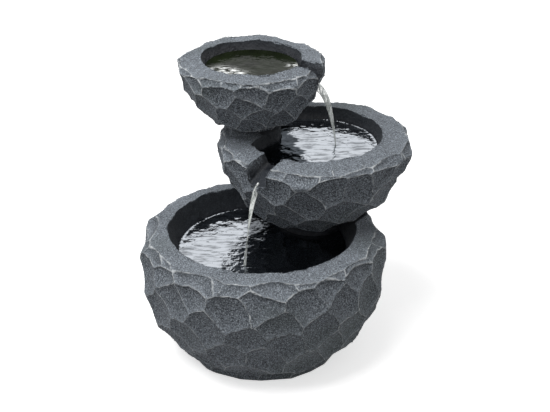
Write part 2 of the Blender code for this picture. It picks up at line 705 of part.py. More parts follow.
for cutter in (lower_hollow, base_rebate, lower_basin, saddle, alcove, gland_hole, gland_pocket):
    boolean(lower_bowl, cutter)
for cutter in (alcove, mouth, grille_slot, lower_fit_bore):
    boolean(pump_housing, cutter)

base_plate = screwed_plate(
    "base_plate", Vector((0.0, 0.0, 0.0)), BASE_PLATE_RADIUS, 0.0, base_screws, lower_bowl, steps=FINE)

# Lead gland: a rubber sleeve with a flange, drawn into its hole from behind
gland_head = gland_pocket_x + GLAND_HEAD
gland_outline = [
    (GLAND_BORE, gland_head), (GLAND_FLANGE - GLAND_CHAMFER, gland_head),
    (GLAND_FLANGE, gland_head - GLAND_CHAMFER), (GLAND_FLANGE, gland_pocket_x + GAP),
    (GLAND_RADIUS, gland_pocket_x + GAP), (GLAND_RADIUS, gland_pocket_x - GLAND_LENGTH),
    (GLAND_BORE, gland_pocket_x - GLAND_LENGTH)]
turned("lead_gland", gland_outline, RUBBER, gland_place, gland_turn, ring=True)

# Fitting through the housing's deck, under the middle bowl
deck_thread_end = deck_fitting("deck", MIDDLE_AXIS, lower_seat_z, alcove_roof_z)
deck_spigot_top = lower_seat_z - GAP * 2.0 + SPIGOT_LENGTH

# Intake grille: a slotted plate that slides down its grooves across the alcove's mouth
grille = box(
    "intake_grille", (GRILLE_CENTRE - GRILLE_THICKNESS / 2.0, -GRILLE_HALF_WIDTH, GAP),
    (GRILLE_CENTRE + GRILLE_THICKNESS / 2.0, GRILLE_HALF_WIDTH, GRILLE_HEIGHT), PUMP_PLASTIC,
    pump_place, pump_turn)
slot = box(
    "cut_grille_slots",
    (GRILLE_CENTRE - GRILLE_THICKNESS, -GRILLE_SLOT / 2.0, GRILLE_HEIGHT * 0.12),
    (GRILLE_CENTRE + GRILLE_THICKNESS, GRILLE_SLOT / 2.0, GRILLE_HEIGHT * 0.78),
    place=pump_place, turn=pump_turn)
grille_pitch = 2.0 * MOUTH_HALF_WIDTH / GRILLE_BARS
for vert in slot.data.vertices:
    vert.co.y -= grille_pitch * (GRILLE_BARS - 1) / 2.0
slots = slot.modifiers.new("repeat", "ARRAY")
slots.use_relative_offset = False
slots.use_constant_offset = True
slots.constant_offset_displace = (0.0, grille_pitch, 0.0)
slots.count = GRILLE_BARS
slots.merge_threshold = 0.00001
boolean(grille, slot)

# Middle bowl
middle_bowl = chiselled(
    "middle_bowl", middle_flats, MIDDLE_BALL, MIDDLE_CENTRE_Z, MIDDLE_FOOT_Z, MIDDLE_LIP_Z, STONE,
    MIDDLE_AXIS)
middle_basin = turned(
    "cut_middle_basin",
    basin_profile(
        MIDDLE_LIP_RADIUS, MIDDLE_LIP_Z, MIDDLE_WATER_RADIUS, MIDDLE_WATER_Z,
        MIDDLE_FLOOR_RADIUS, MIDDLE_FLOOR_Z),
    place=MIDDLE_AXIS, steps=FINE)
middle_shoulder = rod(
    "keep_middle_shoulder", MIDDLE_SHOULDER_RADIUS, MIDDLE_FLOOR_Z - WALL, MIDDLE_LIP_Z + MIDDLE_BALL,
    place=TOP_AXIS, steps=MEDIUM)
boolean(middle_basin, middle_shoulder)
flank_start = MIDDLE_AXIS + Vector((cos(FLANK_ANGLE), sin(FLANK_ANGLE), 0.0)) * MIDDLE_LIP_RADIUS
to_shoulder = TOP_AXIS - flank_start
flank_lean = asin((MIDDLE_SHOULDER_RADIUS - FLANK_SINK) / to_shoulder.length)
flank_turn = atan2(to_shoulder.y, to_shoulder.x) - flank_lean
flank = box(
    "keep_flank", (-MIDDLE_SHOULDER_RADIUS, 0.0, MIDDLE_FLOOR_Z - WALL),
    (to_shoulder.length * cos(flank_lean), MIDDLE_SHOULDER_RADIUS, MIDDLE_LIP_Z + MIDDLE_BALL),
    place=flank_start, turn=(0.0, 0.0, flank_turn))
boolean(middle_basin, flank)
middle_spout = spout(
    "cut_middle_spout", MIDDLE_AXIS, MIDDLE_SPOUT_ANGLE, MIDDLE_LIP_RADIUS, MIDDLE_SPOUT_IN_Z,
    MIDDLE_BALL, MIDDLE_SPOUT_OUT_Z, MIDDLE_SPOUT_FLOOR, MIDDLE_SPOUT_MOUTH)


def foot_hollow(name, axis, ball, centre_z, face_z, roof_z, plate_radius, ledge, reach):
    """Cutter for the hollow under a bowl, open at its foot, with a rebate for the foot plate."""
    inner = ball * (1.0 - FLAT_DEPTH) - WALL - CRUST
    throat = plate_radius + GAP - ledge
    outline = [(0.0, roof_z), (min(reach, sqrt(inner ** 2 - (roof_z - centre_z) ** 2)), roof_z)]
    steps = 5
    for index in range(1, steps + 1):
        height = roof_z + (face_z + HOLLOW_CORNER - roof_z) * index / steps
        outline.append((min(reach, sqrt(inner ** 2 - (height - centre_z) ** 2)), height))
    outline += [(throat, face_z + PLATE + ledge), (throat, face_z + PLATE + GAP * 2.0)]
    outline += [(plate_radius + GAP, face_z + PLATE + GAP * 2.0), (plate_radius + GAP, face_z - WALL)]
    outline.append((0.0, face_z - WALL))
    return turned(name, outline, place=axis, steps=MEDIUM)


middle_hollow = foot_hollow(
    "cut_middle_hollow", MIDDLE_AXIS, MIDDLE_BALL, MIDDLE_CENTRE_Z, MIDDLE_FOOT_Z,
    MIDDLE_FLOOR_Z - WALL, MIDDLE_PLATE_RADIUS, MIDDLE_LEDGE, MIDDLE_HOLLOW_RADIUS)
shoulder_roof_z = MIDDLE_LIP_Z - MIDDLE_DECK
shoulder_hollow = rod(
    "cut_shoulder_hollow", SHOULDER_HOLLOW_RADIUS, MIDDLE_FLOOR_Z - 2.0 * WALL, shoulder_roof_z,
    place=TOP_AXIS, steps=MEDIUM)
top_seat_z = TOP_FOOT_Z - GAP
shoulder_bore = deck_holes("cut_shoulder_fitting", TOP_AXIS, MIDDLE_LIP_Z, shoulder_roof_z)
for cutter in (middle_hollow, shoulder_hollow, middle_basin, middle_spout, shoulder_bore):
    boolean(middle_bowl, cutter)
middle_screws = ring_spots(MIDDLE_AXIS, MIDDLE_PLATE_RADIUS - MIDDLE_LEDGE / 2.0, 3, 0.3)
middle_plate = screwed_plate(
    "middle_plate", MIDDLE_AXIS, MIDDLE_PLATE_RADIUS, MIDDLE_FOOT_Z, middle_screws, middle_bowl,
    SPIGOT_RADIUS + SOCKET_WALL + GAP * 2.0)
middle_crown = inlet_socket("middle", MIDDLE_AXIS, MIDDLE_FOOT_Z, deck_spigot_top)
shoulder_thread_end = deck_fitting("shoulder", TOP_AXIS, MIDDLE_LIP_Z, shoulder_roof_z)
shoulder_spigot_top = MIDDLE_LIP_Z - GAP * 2.0 + SPIGOT_LENGTH


def solid_pipe(name, points, radius, mat=None):
    """A filled pipe along points, as a closed mesh that a Boolean can use."""
    line = bpy.data.curves.new(name + "_line", "CURVE")
    line.dimensions = "3D"
    line.bevel_depth = radius
    line.bevel_resolution = 4
    line.use_fill_caps = True
    run = line.splines.new("POLY")
    run.points.add(len(points) - 1)
    for target, point in zip(run.points, points):
        target.co = (*point, 1.0)
    guide = bpy.data.objects.new(name + "_line", line)
    CUTTERS.objects.link(guide)
    bpy.context.view_layer.update()
    graph = bpy.context.evaluated_depsgraph_get()
    mesh = bpy.data.meshes.new_from_object(guide.evaluated_get(graph))
    bm = bmesh.new()
    bm.from_mesh(mesh)
    bmesh.ops.remove_doubles(bm, verts=bm.verts, dist=0.00005)
    bmesh.ops.recalc_face_normals(bm, faces=bm.faces)
    bpy.data.objects.remove(guide, do_unlink=True)
    bpy.data.meshes.remove(mesh)
    return mesh_object(name, bm, mat)


def bend(corner, start, end, radius, count=6):
    """Points round a quarter bend, given its square corner and the directions in and out."""
    centre = corner - start * radius + end * radius
    points = []
    for index in range(count + 1):
        angle = 0.5 * pi * index / count
        points.append(centre + start * radius * sin(angle) - end * radius * cos(angle))
    return points


# Transfer hose: up from the foot, level under the basin's floor, and up into the shoulder
UP = Vector((0.0, 0.0, 1.0))
across = (TOP_AXIS - MIDDLE_AXIS).normalized()
hose_low = middle_crown + GAP
hose_high = shoulder_thread_end - GAP
first_corner = MIDDLE_AXIS + UP * HOSE_LEVEL_Z
second_corner = TOP_AXIS + UP * HOSE_LEVEL_Z


def hose_route(low, high):
    """The transfer hose's middle line between two heights."""
    return (
        [MIDDLE_AXIS + UP * low]
        + bend(first_corner, UP, across, HOSE_BEND)
        + bend(second_corner, across, UP, HOSE_BEND)
        + [TOP_AXIS + UP * high])


transfer_hose = solid_pipe("transfer_hose", hose_route(hose_low, hose_high), HOSE_OUTER, HOSE_VINYL)
hose_core = solid_pipe("cut_transfer_hose", hose_route(hose_low - WALL, hose_high + WALL), HOSE_BORE)
boolean(transfer_hose, hose_core)
hose_clip("transfer_clip_lower", MIDDLE_AXIS, middle_crown + BARB_LENGTH * 0.3)
hose_clip("transfer_clip_upper", TOP_AXIS, shoulder_thread_end - BARB_LENGTH * 0.3 - CLIP_WIDTH)

# Top bowl
top_bowl = chiselled(
    "top_bowl", top_flats, TOP_BALL, TOP_CENTRE_Z, TOP_FOOT_Z, TOP_LIP_Z, STONE, TOP_AXIS)
top_basin = turned(
    "cut_top_basin",
    basin_profile(
        TOP_LIP_RADIUS, TOP_LIP_Z, TOP_WATER_RADIUS, TOP_WATER_Z, TOP_FLOOR_RADIUS, TOP_FLOOR_Z),
    place=TOP_AXIS, steps=FINE)
top_spout = spout(
    "cut_top_spout", TOP_AXIS, TOP_SPOUT_ANGLE, TOP_LIP_RADIUS, TOP_SPOUT_IN_Z, TOP_BALL,
    TOP_SPOUT_OUT_Z, TOP_SPOUT_FLOOR, TOP_SPOUT_MOUTH)
top_roof_z = TOP_FLOOR_Z - WALL
top_hollow = foot_hollow(
    "cut_top_hollow", TOP_AXIS, TOP_BALL, TOP_CENTRE_Z, TOP_FOOT_Z, top_roof_z, TOP_PLATE_RADIUS,
    TOP_LEDGE, TOP_FLOOR_RADIUS + WALL)
outlet_bore = rod("cut_outlet", THREAD_RADIUS + GAP, TOP_FOOT_Z, TOP_LIP_Z, place=TOP_AXIS)
for cutter in (top_hollow, top_basin, top_spout, outlet_bore):
    boolean(top_bowl, cutter)
top_screws = ring_spots(TOP_AXIS, TOP_PLATE_RADIUS - TOP_LEDGE / 2.0, 3, 0.9)
top_plate = screwed_plate(
    "top_plate", TOP_AXIS, TOP_PLATE_RADIUS, TOP_FOOT_Z, top_screws, top_bowl,
    SPIGOT_RADIUS + SOCKET_WALL + GAP * 2.0)
top_crown = inlet_socket("top", TOP_AXIS, TOP_FOOT_Z, shoulder_spigot_top)

# Outlet in the top basin's floor: a domed cap with side ports over a bulkhead stem
outlet_low = TOP_FLOOR_Z + GAP + WASHER + GAP
outlet_thread_end = top_roof_z - GAP - NUT - GAP
outlet_outline = [
    (0.0, outlet_low + OUTLET_DOME), (THREAD_RADIUS * 0.7, outlet_low + OUTLET_DOME * 0.93),
    (THREAD_RADIUS, outlet_low + OUTLET_DOME * 0.75), (THREAD_RADIUS, outlet_low + FLANGE),
    (FLANGE_RADIUS, outlet_low + FLANGE), (FLANGE_RADIUS, outlet_low),
    (THREAD_RADIUS, outlet_low), (THREAD_RADIUS, outlet_thread_end)]
outlet_outline += barb(outlet_thread_end, outlet_thread_end - BARB_LENGTH, HOSE_BORE - GAP, False)
outlet_outline += [
    (PIPE_BORE, outlet_thread_end - BARB_LENGTH), (PIPE_BORE, outlet_low + OUTLET_DOME * 0.6),
    (0.0, outlet_low + OUTLET_DOME * 0.6)]
outlet = turned("outlet_fitting", outlet_outline, FITTING_PLASTIC, TOP_AXIS)
for port_turn in (0.0, pi / 2.0):
    port_z = outlet_low + FLANGE + (OUTLET_DOME * 0.75 - FLANGE) * 0.45
    port = rod(
        "cut_outlet_port", OUTLET_PORT, -FLANGE_RADIUS, FLANGE_RADIUS,
        place=TOP_AXIS + UP * port_z, turn=(0.0, pi / 2.0, port_turn), steps=8)
    boolean(outlet, port)
tube(
    "outlet_washer", FLANGE_RADIUS, THREAD_RADIUS + GAP, TOP_FLOOR_Z + GAP,
    TOP_FLOOR_Z + GAP + WASHER, RUBBER, TOP_AXIS)
hex_nut("outlet_nut", TOP_AXIS, top_roof_z - GAP)
top_hose_low = top_crown + GAP
top_hose_high = outlet_thread_end - GAP
tube("top_hose", HOSE_OUTER, HOSE_BORE, top_hose_low, top_hose_high, HOSE_VINYL, TOP_AXIS)
hose_clip("top_clip_lower", TOP_AXIS, top_hose_low + BARB_LENGTH * 0.2)
hose_clip("top_clip_upper", TOP_AXIS, top_hose_high - BARB_LENGTH * 0.2 - CLIP_WIDTH)

# Pump frame: an empty on the basin floor under the riser, its X pointing out of the bowl
pump_frame = bpy.data.objects.new("pump_frame", None)
pump_frame.location = pump_place
pump_frame.rotation_euler = pump_turn
CUTTERS.objects.link(pump_frame)
ALONG = (0.0, pi / 2.0, 0.0)
PUMP_AXIS = Vector((0.0, 0.0, PUMP_AXIS_Z))


def on_pump(thing):
    """Place a piece that is drawn in the pump's own frame."""
    thing.parent = pump_frame
    return thing


def pump_turned(name, profile, mat=None, steps=SMALL, ring=False):
    """A piece turned about the pump's shaft. Its heights run out of the bowl, along the shaft."""
    return on_pump(turned(name, profile, mat, PUMP_AXIS, ALONG, steps, ring))


# Pump body: motor block, volute in front of it and the outlet stub on top
motor_end = MOTOR_FRONT + MOTOR_LENGTH
pump_body = on_pump(rounded(
    box(
        "pump_body", (MOTOR_FRONT, -MOTOR_WIDTH / 2.0, PUMP_AXIS_Z - MOTOR_HEIGHT / 2.0),
        (motor_end, MOTOR_WIDTH / 2.0, PUMP_AXIS_Z + MOTOR_HEIGHT / 2.0), PUMP_PLASTIC),
    MOTOR_CORNER))
volute = pump_turned(
    "join_volute",
    [(0.0, MOTOR_FRONT + VOLUTE_ROOT), (VOLUTE_RADIUS, MOTOR_FRONT + VOLUTE_ROOT),
     (VOLUTE_RADIUS, VOLUTE_FRONT),
     (0.0, VOLUTE_FRONT)], steps=ROUND)
barb_low = OUTLET_TOP - BARB_LENGTH
stub_foot = PUMP_AXIS_Z + (CHAMBER_RADIUS + VOLUTE_RADIUS) / 2.0
stub_outline = [(0.0, OUTLET_TOP)] + barb(OUTLET_TOP, barb_low, HOSE_BORE - GAP, True)
stub_outline += [(SPIGOT_RADIUS, barb_low), (SPIGOT_RADIUS, stub_foot), (0.0, stub_foot)]
outlet_stub = on_pump(turned("join_outlet_stub", stub_outline))
boolean(pump_body, volute, "UNION")
boolean(pump_body, outlet_stub, "UNION")
chamber = pump_turned(
    "cut_chamber",
    [(0.0, ROTOR_END + BUSH_LENGTH + GAP * 2.0),
     (MAGNET_RADIUS + RUNNING, ROTOR_END + BUSH_LENGTH + GAP * 2.0),
     (MAGNET_RADIUS + RUNNING, CHAMBER_FLOOR), (CHAMBER_RADIUS, CHAMBER_FLOOR),
     (CHAMBER_RADIUS, VOLUTE_FRONT - WALL), (0.0, VOLUTE_FRONT - WALL)])
riser_bore = on_pump(rod(
    "cut_riser_bore", PIPE_BORE, PUMP_AXIS_Z + CHAMBER_RADIUS * 0.5, OUTLET_TOP + WALL))
groove_in = CHAMBER_RADIUS + GROOVE_INNER_LIP
groove_out = VOLUTE_RADIUS - GROOVE_OUTER_LIP
seal_groove = pump_turned(
    "cut_seal_groove",
    [(groove_in, VOLUTE_FRONT + GROOVE_DEPTH), (groove_out, VOLUTE_FRONT + GROOVE_DEPTH),
     (groove_out, VOLUTE_FRONT - GROOVE_DEPTH), (groove_in, VOLUTE_FRONT - GROOVE_DEPTH)],
    steps=ROUND, ring=True)
boolean(pump_body, chamber)
boolean(pump_body, riser_bore)
boolean(pump_body, seal_groove)
pump_turned(
    "volute_seal",
    [(groove_in + GAP, VOLUTE_FRONT + GROOVE_DEPTH - GAP),
     (groove_out - GAP, VOLUTE_FRONT + GROOVE_DEPTH - GAP),
     (groove_out - GAP, VOLUTE_FRONT), (groove_in + GAP, VOLUTE_FRONT)], RUBBER, ROUND, ring=True)

# Rotor: magnet, disc and vanes in one moulding that turns on a ceramic shaft
disc_back = CHAMBER_FLOOR - RUNNING
disc_front = disc_back - IMPELLER_DISC
vane_front = disc_front - VANE_HEIGHT
rotor_bore = SHAFT_RADIUS + GAP
rotor_outline = [
    (rotor_bore, ROTOR_END), (MAGNET_RADIUS, ROTOR_END), (MAGNET_RADIUS, disc_back),
    (IMPELLER_RADIUS, disc_back), (IMPELLER_RADIUS, disc_front),
    (rotor_bore + HUB_WALL, disc_front), (rotor_bore + HUB_WALL, vane_front), (rotor_bore, vane_front)]
impeller = pump_turned("impeller", rotor_outline, ROTOR, SMALL, ring=True)
for index in range(IMPELLER_VANES):
    vane = on_pump(box(
        "join_vane", (vane_front, -VANE_THICKNESS / 2.0, rotor_bore + HUB_WALL / 2.0),
        (disc_front + IMPELLER_DISC * 0.5, VANE_THICKNESS / 2.0, IMPELLER_RADIUS - VANE_TIP_GAP),
        place=PUMP_AXIS, turn=(2.0 * pi * (index + 0.5) / IMPELLER_VANES, 0.0, 0.0)))
    boolean(impeller, vane, "UNION")

# Shaft and its two bushes, one at the bottom of the rotor's well and one in the volute's cover
cover_back = VOLUTE_FRONT - GAP
cover_front = cover_back - COVER_PLATE
bush_hole = SHAFT_RADIUS + GAP
bush_outer = MAGNET_RADIUS * 0.42
well_end = ROTOR_END + BUSH_LENGTH + GAP * 2.0
pump_turned(
    "rotor_shaft",
    [(0.0, well_end - GAP), (SHAFT_RADIUS, well_end - GAP), (SHAFT_RADIUS, cover_front + GAP),
     (0.0, cover_front + GAP)], CERAMIC, steps=12)
pump_turned(
    "shaft_bush_back",
    [(bush_hole, well_end - GAP), (MAGNET_RADIUS, well_end - GAP), (MAGNET_RADIUS, ROTOR_END + GAP * 2.0),
     (bush_hole, ROTOR_END + GAP * 2.0)], CERAMIC, ring=True)
pump_turned(
    "shaft_bush_front",
    [(bush_hole, cover_back), (bush_outer, cover_back), (bush_outer, cover_front),
     (bush_hole, cover_front)], CERAMIC, ring=True)
volute_cover = pump_turned(
    "volute_cover",
    [(bush_outer + GAP, cover_back), (VOLUTE_RADIUS - GAP, cover_back),
     (VOLUTE_RADIUS - GAP, cover_front), (bush_outer + GAP, cover_front)], PUMP_PLASTIC, ROUND,
    ring=True)
for index in range(INLET_HOLES):
    swing = 2.0 * pi * index / INLET_HOLES
    inlet = on_pump(rod(
        "cut_inlet", INLET_RADIUS, -WALL, WALL,
        place=(cover_back, INLET_CIRCLE * sin(swing), PUMP_AXIS_Z + INLET_CIRCLE * cos(swing)),
        turn=ALONG, steps=10))
    boolean(volute_cover, inlet)

# Strainer cover: a cap that pulls off the volute, with slots across its face
cover_room = VOLUTE_RADIUS + GAP
cover_half = cover_room + COVER_WALL
strainer_cover = on_pump(rounded(
    box(
        "strainer_cover", (COVER_FRONT, -cover_half, PUMP_AXIS_Z - cover_half),
        (COVER_BACK, cover_half, PUMP_AXIS_Z + cover_half), PUMP_PLASTIC),
    COVER_CORNER, 1))
cover_space = on_pump(box(
    "cut_cover_space", (COVER_FRONT + COVER_WALL, -cover_room, PUMP_AXIS_Z - cover_room),
    (COVER_BACK + WALL, cover_room, PUMP_AXIS_Z + cover_room)))
dial_hole = pump_turned(
    "cut_dial_hole",
    [(0.0, COVER_FRONT + WALL), (DIAL_STEM + GAP, COVER_FRONT + WALL),
     (DIAL_STEM + GAP, COVER_FRONT - WALL),
     (0.0, COVER_FRONT - WALL)])
boolean(strainer_cover, cover_space)
boolean(strainer_cover, dial_hole)
for row in COVER_SLOT_ROWS:
    cover_slot = on_pump(box(
        "cut_cover_slot",
        (COVER_FRONT - COVER_WALL, -cover_room * 0.8, PUMP_AXIS_Z + row - COVER_SLOT / 2.0),
        (COVER_FRONT + COVER_WALL * 2.0, cover_room * 0.8, PUMP_AXIS_Z + row + COVER_SLOT / 2.0)))
    boolean(strainer_cover, cover_slot)

# Foam block that fills the strainer cover, bored for the dial's stem
foam_half = cover_room - GAP
foam = on_pump(box(
    "foam_filter", (COVER_FRONT + COVER_WALL + GAP, -foam_half, PUMP_AXIS_Z - foam_half),
    (cover_front - GAP, foam_half, PUMP_AXIS_Z + foam_half), FOAM))
stem_room = pump_turned(
    "cut_stem_room",
    [(0.0, 0.0), (DIAL_STEM * 2.0, 0.0), (DIAL_STEM * 2.0, COVER_FRONT - WALL), (0.0, COVER_FRONT - WALL)])
boolean(foam, stem_room)

# Flow dial: a knob outside the strainer cover, with a stem and a pointer rib
dial_back = COVER_FRONT - GAP
dial_face = dial_back - DIAL_HEIGHT
stem_end = COVER_FRONT + COVER_WALL + DIAL_STEM * 2.0
dial = pump_turned(
    "flow_dial",
    [(0.0, stem_end), (DIAL_STEM, stem_end), (DIAL_STEM, dial_back), (DIAL_RADIUS, dial_back),
     (DIAL_RADIUS, dial_face + DIAL_CHAMFER), (DIAL_RADIUS - DIAL_CHAMFER, dial_face), (0.0, dial_face)],
    FITTING_PLASTIC)
pointer = on_pump(box(
    "join_pointer", (dial_face - POINTER_HEIGHT, -POINTER_HALF_WIDTH, PUMP_AXIS_Z),
    (dial_face + DIAL_CHAMFER, POINTER_HALF_WIDTH, PUMP_AXIS_Z + DIAL_RADIUS * 0.85)))
boolean(dial, pointer, "UNION")

# Suction cups under the motor block
cup_spots = []
for share in (0.22, 0.76):
    for side in (-1.0, 1.0):
        cup_spots.append((MOTOR_FRONT + MOTOR_LENGTH * share, side * CUP_SPREAD))
cup_holes = on_pump(drills(
    "cut_cup_holes", cup_spots, CUP_STEM + GAP, CUP_HEIGHT - WALL, CUP_STEM_TOP + GAP, steps=8))
boolean(pump_body, cup_holes)
cup_outline = [
    (0.0, CUP_STEM_TOP), (CUP_STEM, CUP_STEM_TOP), (CUP_STEM, CUP_HEIGHT),
    (CUP_RADIUS * 0.5, CUP_HEIGHT * 0.9), (CUP_RADIUS, GAP), (CUP_RADIUS * 0.82, GAP),
    (CUP_RADIUS * 0.36, CUP_HEIGHT * 0.6), (0.0, CUP_HEIGHT * 0.6)]
for index, (x, y) in enumerate(cup_spots):
    on_pump(turned("suction_cup_" + str(index + 1), cup_outline, RUBBER, (x, y, 0.0), steps=8))

# Riser hose from the pump's outlet up to the fitting in the deck
riser_low = LOWER_FLOOR_Z + barb_low + GAP
riser_high = deck_thread_end - GAP
tube("riser_hose", HOSE_OUTER, HOSE_BORE, riser_low, riser_high, HOSE_VINYL, MIDDLE_AXIS)
hose_clip("riser_clip_lower", MIDDLE_AXIS, riser_low + BARB_LENGTH * 0.2)
hose_clip("riser_clip_upper", MIDDLE_AXIS, riser_high - BARB_LENGTH * 0.2 - CLIP_WIDTH)
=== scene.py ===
"""Looks of the three-bowl garden fountain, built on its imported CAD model. Metres, +Z up."""
from math import asin, atan2, cos, hypot, pi, radians, sin, sqrt

import bpy
import numpy as np
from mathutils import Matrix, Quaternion, Vector


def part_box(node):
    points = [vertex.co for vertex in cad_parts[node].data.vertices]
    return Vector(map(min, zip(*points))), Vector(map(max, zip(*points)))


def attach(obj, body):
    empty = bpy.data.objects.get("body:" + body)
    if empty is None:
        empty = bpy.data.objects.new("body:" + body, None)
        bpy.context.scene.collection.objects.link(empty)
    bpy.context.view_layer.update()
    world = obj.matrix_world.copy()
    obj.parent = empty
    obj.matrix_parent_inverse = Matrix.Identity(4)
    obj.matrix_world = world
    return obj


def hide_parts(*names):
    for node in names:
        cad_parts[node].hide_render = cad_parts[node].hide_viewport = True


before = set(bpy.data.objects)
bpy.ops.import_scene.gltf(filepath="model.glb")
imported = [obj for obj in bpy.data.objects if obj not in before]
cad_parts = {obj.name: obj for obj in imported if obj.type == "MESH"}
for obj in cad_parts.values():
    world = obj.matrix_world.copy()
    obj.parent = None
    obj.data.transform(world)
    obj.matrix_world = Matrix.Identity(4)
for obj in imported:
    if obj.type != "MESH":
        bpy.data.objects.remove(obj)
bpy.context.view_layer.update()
scene = bpy.context.scene
scene.view_settings.view_transform = "Standard"

# Camera: stands a little above the fountain and looks down on its three water surfaces,
# as in the photograph.
CAMERA_PLACE = (0.0209, -1.7164, 1.1323)
CAMERA_PITCH = radians(27.11)
CAMERA_FOCAL_PIXELS = 1174.4
PHOTO_WIDTH = 550.0
SENSOR_WIDTH = 36.0
camera_data = bpy.data.cameras.new("camera")
camera_data.sensor_width = SENSOR_WIDTH
camera_data.lens = SENSOR_WIDTH * CAMERA_FOCAL_PIXELS / PHOTO_WIDTH
camera = bpy.data.objects.new("camera", camera_data)
camera.location = CAMERA_PLACE
camera.rotation_euler = (pi / 2.0 - CAMERA_PITCH, 0.0, 0.0)
scene.collection.objects.link(camera)
scene.camera = camera

# Studio: a white floor and sky for the eye and for reflections, but only a soft, dim light from
# below, so that the stone's undersides stay as dark as they are out of doors.
FLOOR_SIZE = 30.0
SKY_SOFT_LIGHT = 0.42
FLOOR_SHOWN = 0.92
FLOOR_GLOW = 0.60
FLOOR_BOUNCE = 0.28
KEY_PLACE = (-0.9, -0.5, 2.6)
KEY_SIZE = 1.6
KEY_POWER = 62.0
KEY_AIM = (0.02, 0.05, 0.25)


def put_down():
    """Let go of whatever is selected."""
    bpy.ops.object.select_all(action="DESELECT")


def seen_by_eye(tree):
    """1 for rays from the camera, a mirror or clear water, 0 for soft light."""
    path = tree.nodes.new("ShaderNodeLightPath")
    seen = path.outputs["Is Camera Ray"]
    for kind in ("Is Glossy Ray", "Is Transmission Ray"):
        either = tree.nodes.new("ShaderNodeMath")
        either.operation = "MAXIMUM"
        tree.links.new(seen, either.inputs[0])
        tree.links.new(path.outputs[kind], either.inputs[1])
        seen = either.outputs[0]
    return seen


def new_finish(name):
    """A new material, its node tree and its shader."""
    finish = bpy.data.materials.new(name)
    finish.use_nodes = True
    return finish, finish.node_tree, finish.node_tree.nodes["Principled BSDF"]


put_down()
bpy.ops.mesh.primitive_plane_add(size=FLOOR_SIZE)
floor = bpy.context.object
floor.name = "studio_floor"
bpy.ops.object.mode_set(mode="EDIT")
bpy.ops.mesh.subdivide(number_cuts=3)
bpy.ops.object.mode_set(mode="OBJECT")
floor_white, tree, shader = new_finish("floor_white")
shader.inputs["Roughness"].default_value = 1.0
shader.inputs["Specular IOR Level"].default_value = 0.0
tone = tree.nodes.new("ShaderNodeMix")
tone.data_type = "RGBA"
tone.inputs["A"].default_value = (FLOOR_BOUNCE, FLOOR_BOUNCE, FLOOR_BOUNCE, 1.0)
tone.inputs["B"].default_value = (FLOOR_SHOWN, FLOOR_SHOWN, FLOOR_SHOWN, 1.0)
shown = seen_by_eye(tree)
tree.links.new(shown, tone.inputs["Factor"])
tree.links.new(tone.outputs["Result"], shader.inputs["Base Color"])
glow = tree.nodes.new("ShaderNodeMath")
glow.operation = "MULTIPLY"
glow.inputs[1].default_value = FLOOR_GLOW
tree.links.new(shown, glow.inputs[0])
shader.inputs["Emission Color"].default_value = (1.0, 1.0, 1.0, 1.0)
tree.links.new(glow.outputs[0], shader.inputs["Emission Strength"])
floor.data.materials.append(floor_white)

world = bpy.data.worlds.new("soft_sky")
scene.world = world
world.use_nodes = True
tree = world.node_tree
sky = tree.nodes["Background"]
sky.inputs["Color"].default_value = (1.0, 1.0, 1.0, 1.0)
strength = tree.nodes.new("ShaderNodeMix")
strength.inputs["A"].default_value = SKY_SOFT_LIGHT
strength.inputs["B"].default_value = 1.0
tree.links.new(seen_by_eye(tree), strength.inputs["Factor"])
tree.links.new(strength.outputs["Result"], sky.inputs["Strength"])

key_data = bpy.data.lights.new("key", "AREA")
key_data.shape = "SQUARE"
key_data.size = KEY_SIZE
key_data.energy = KEY_POWER
key = bpy.data.objects.new("key", key_data)
key.location = KEY_PLACE
key.rotation_euler = (Vector(KEY_AIM) - Vector(KEY_PLACE)).to_track_quat("-Z", "Y").to_euler()
scene.collection.objects.link(key)
key.visible_glossy = False

# Lower bowl: a hollow casting in stone-filled resin, its outside worked flat by flat like chiselled
# rock. It stands on the ground, holds the most water, and carries the middle bowl in a saddle cut in
# its rim. The pump's alcove reaches into its back wall.
GAP = 0.0003
SEAT_ROOM = 0.0012
WALL = 0.0110
CRUST = 0.0060             # what the deepest flats take from the ball
HOLLOW_CORNER = 0.0154
PLATE_ROOM = 0.0046        # a foot plate's thickness with its clearances
PILOT_RADIUS = 0.0019
GOLDEN_ANGLE = pi * (3.0 - sqrt(5.0))
FLAT_DEPTH = 0.0125
FLAT_DEPTH_SPREAD = 0.007
FLAT_WANDER = 0.38
RIM_WANDER = 0.0018
EVEN_TURN = 0.35           # how far a rim or corner flat strays round, of the way to the next
RIM_TILT_SPREAD = 0.25
CORNER_FLATS = 1.6         # corner flats to each rim flat
CORNER_CUT = 0.0075
CORNER_SPREAD = 0.0040
CORNER_TILT_SPREAD = 0.22
SCOOP_DROP = 0.25          # the hollows lie low on their flats, where the chisel dug in
SCOOP_WANDER = 0.20
SCOOP_REACH_SPREAD = 0.14
SCOOP_DEPTH_SPREAD = 0.30
PROUD = 0.0012             # the block starts this much outside the flats, and is worked back
ARRIS_RISE = 0.0004
ARRIS_BAND = 0.0022        # skin that keeps all its triangles, so that the arrises stay crisp
HAND_DRIFT = 0.0016        # how far the chisel's lines waver
DRIFT_WAVES = ((90.0, 0.8, 0.0), (205.0, 0.55, 1.3), (430.0, 0.30, 2.1))
SEAM_REACH = 0.006
USUAL_TURN = 0.45          # between the normals of two flats that meet
# how far from an arris the painted shade and painted light reach
BROW_PAINT_REACH = 0.0085
WET_FADE = 0.012
LUMP_RISE = 0.0036
PIT_SINK = 0.0018
SKIN_MIDDLE = 0.68         # most lumps and pits go inwards, so that the CAD's outside is kept
CAD_ROOM = 0.0001
MOST_TRIANGLES = 185000
BASIN_STEPS = 96
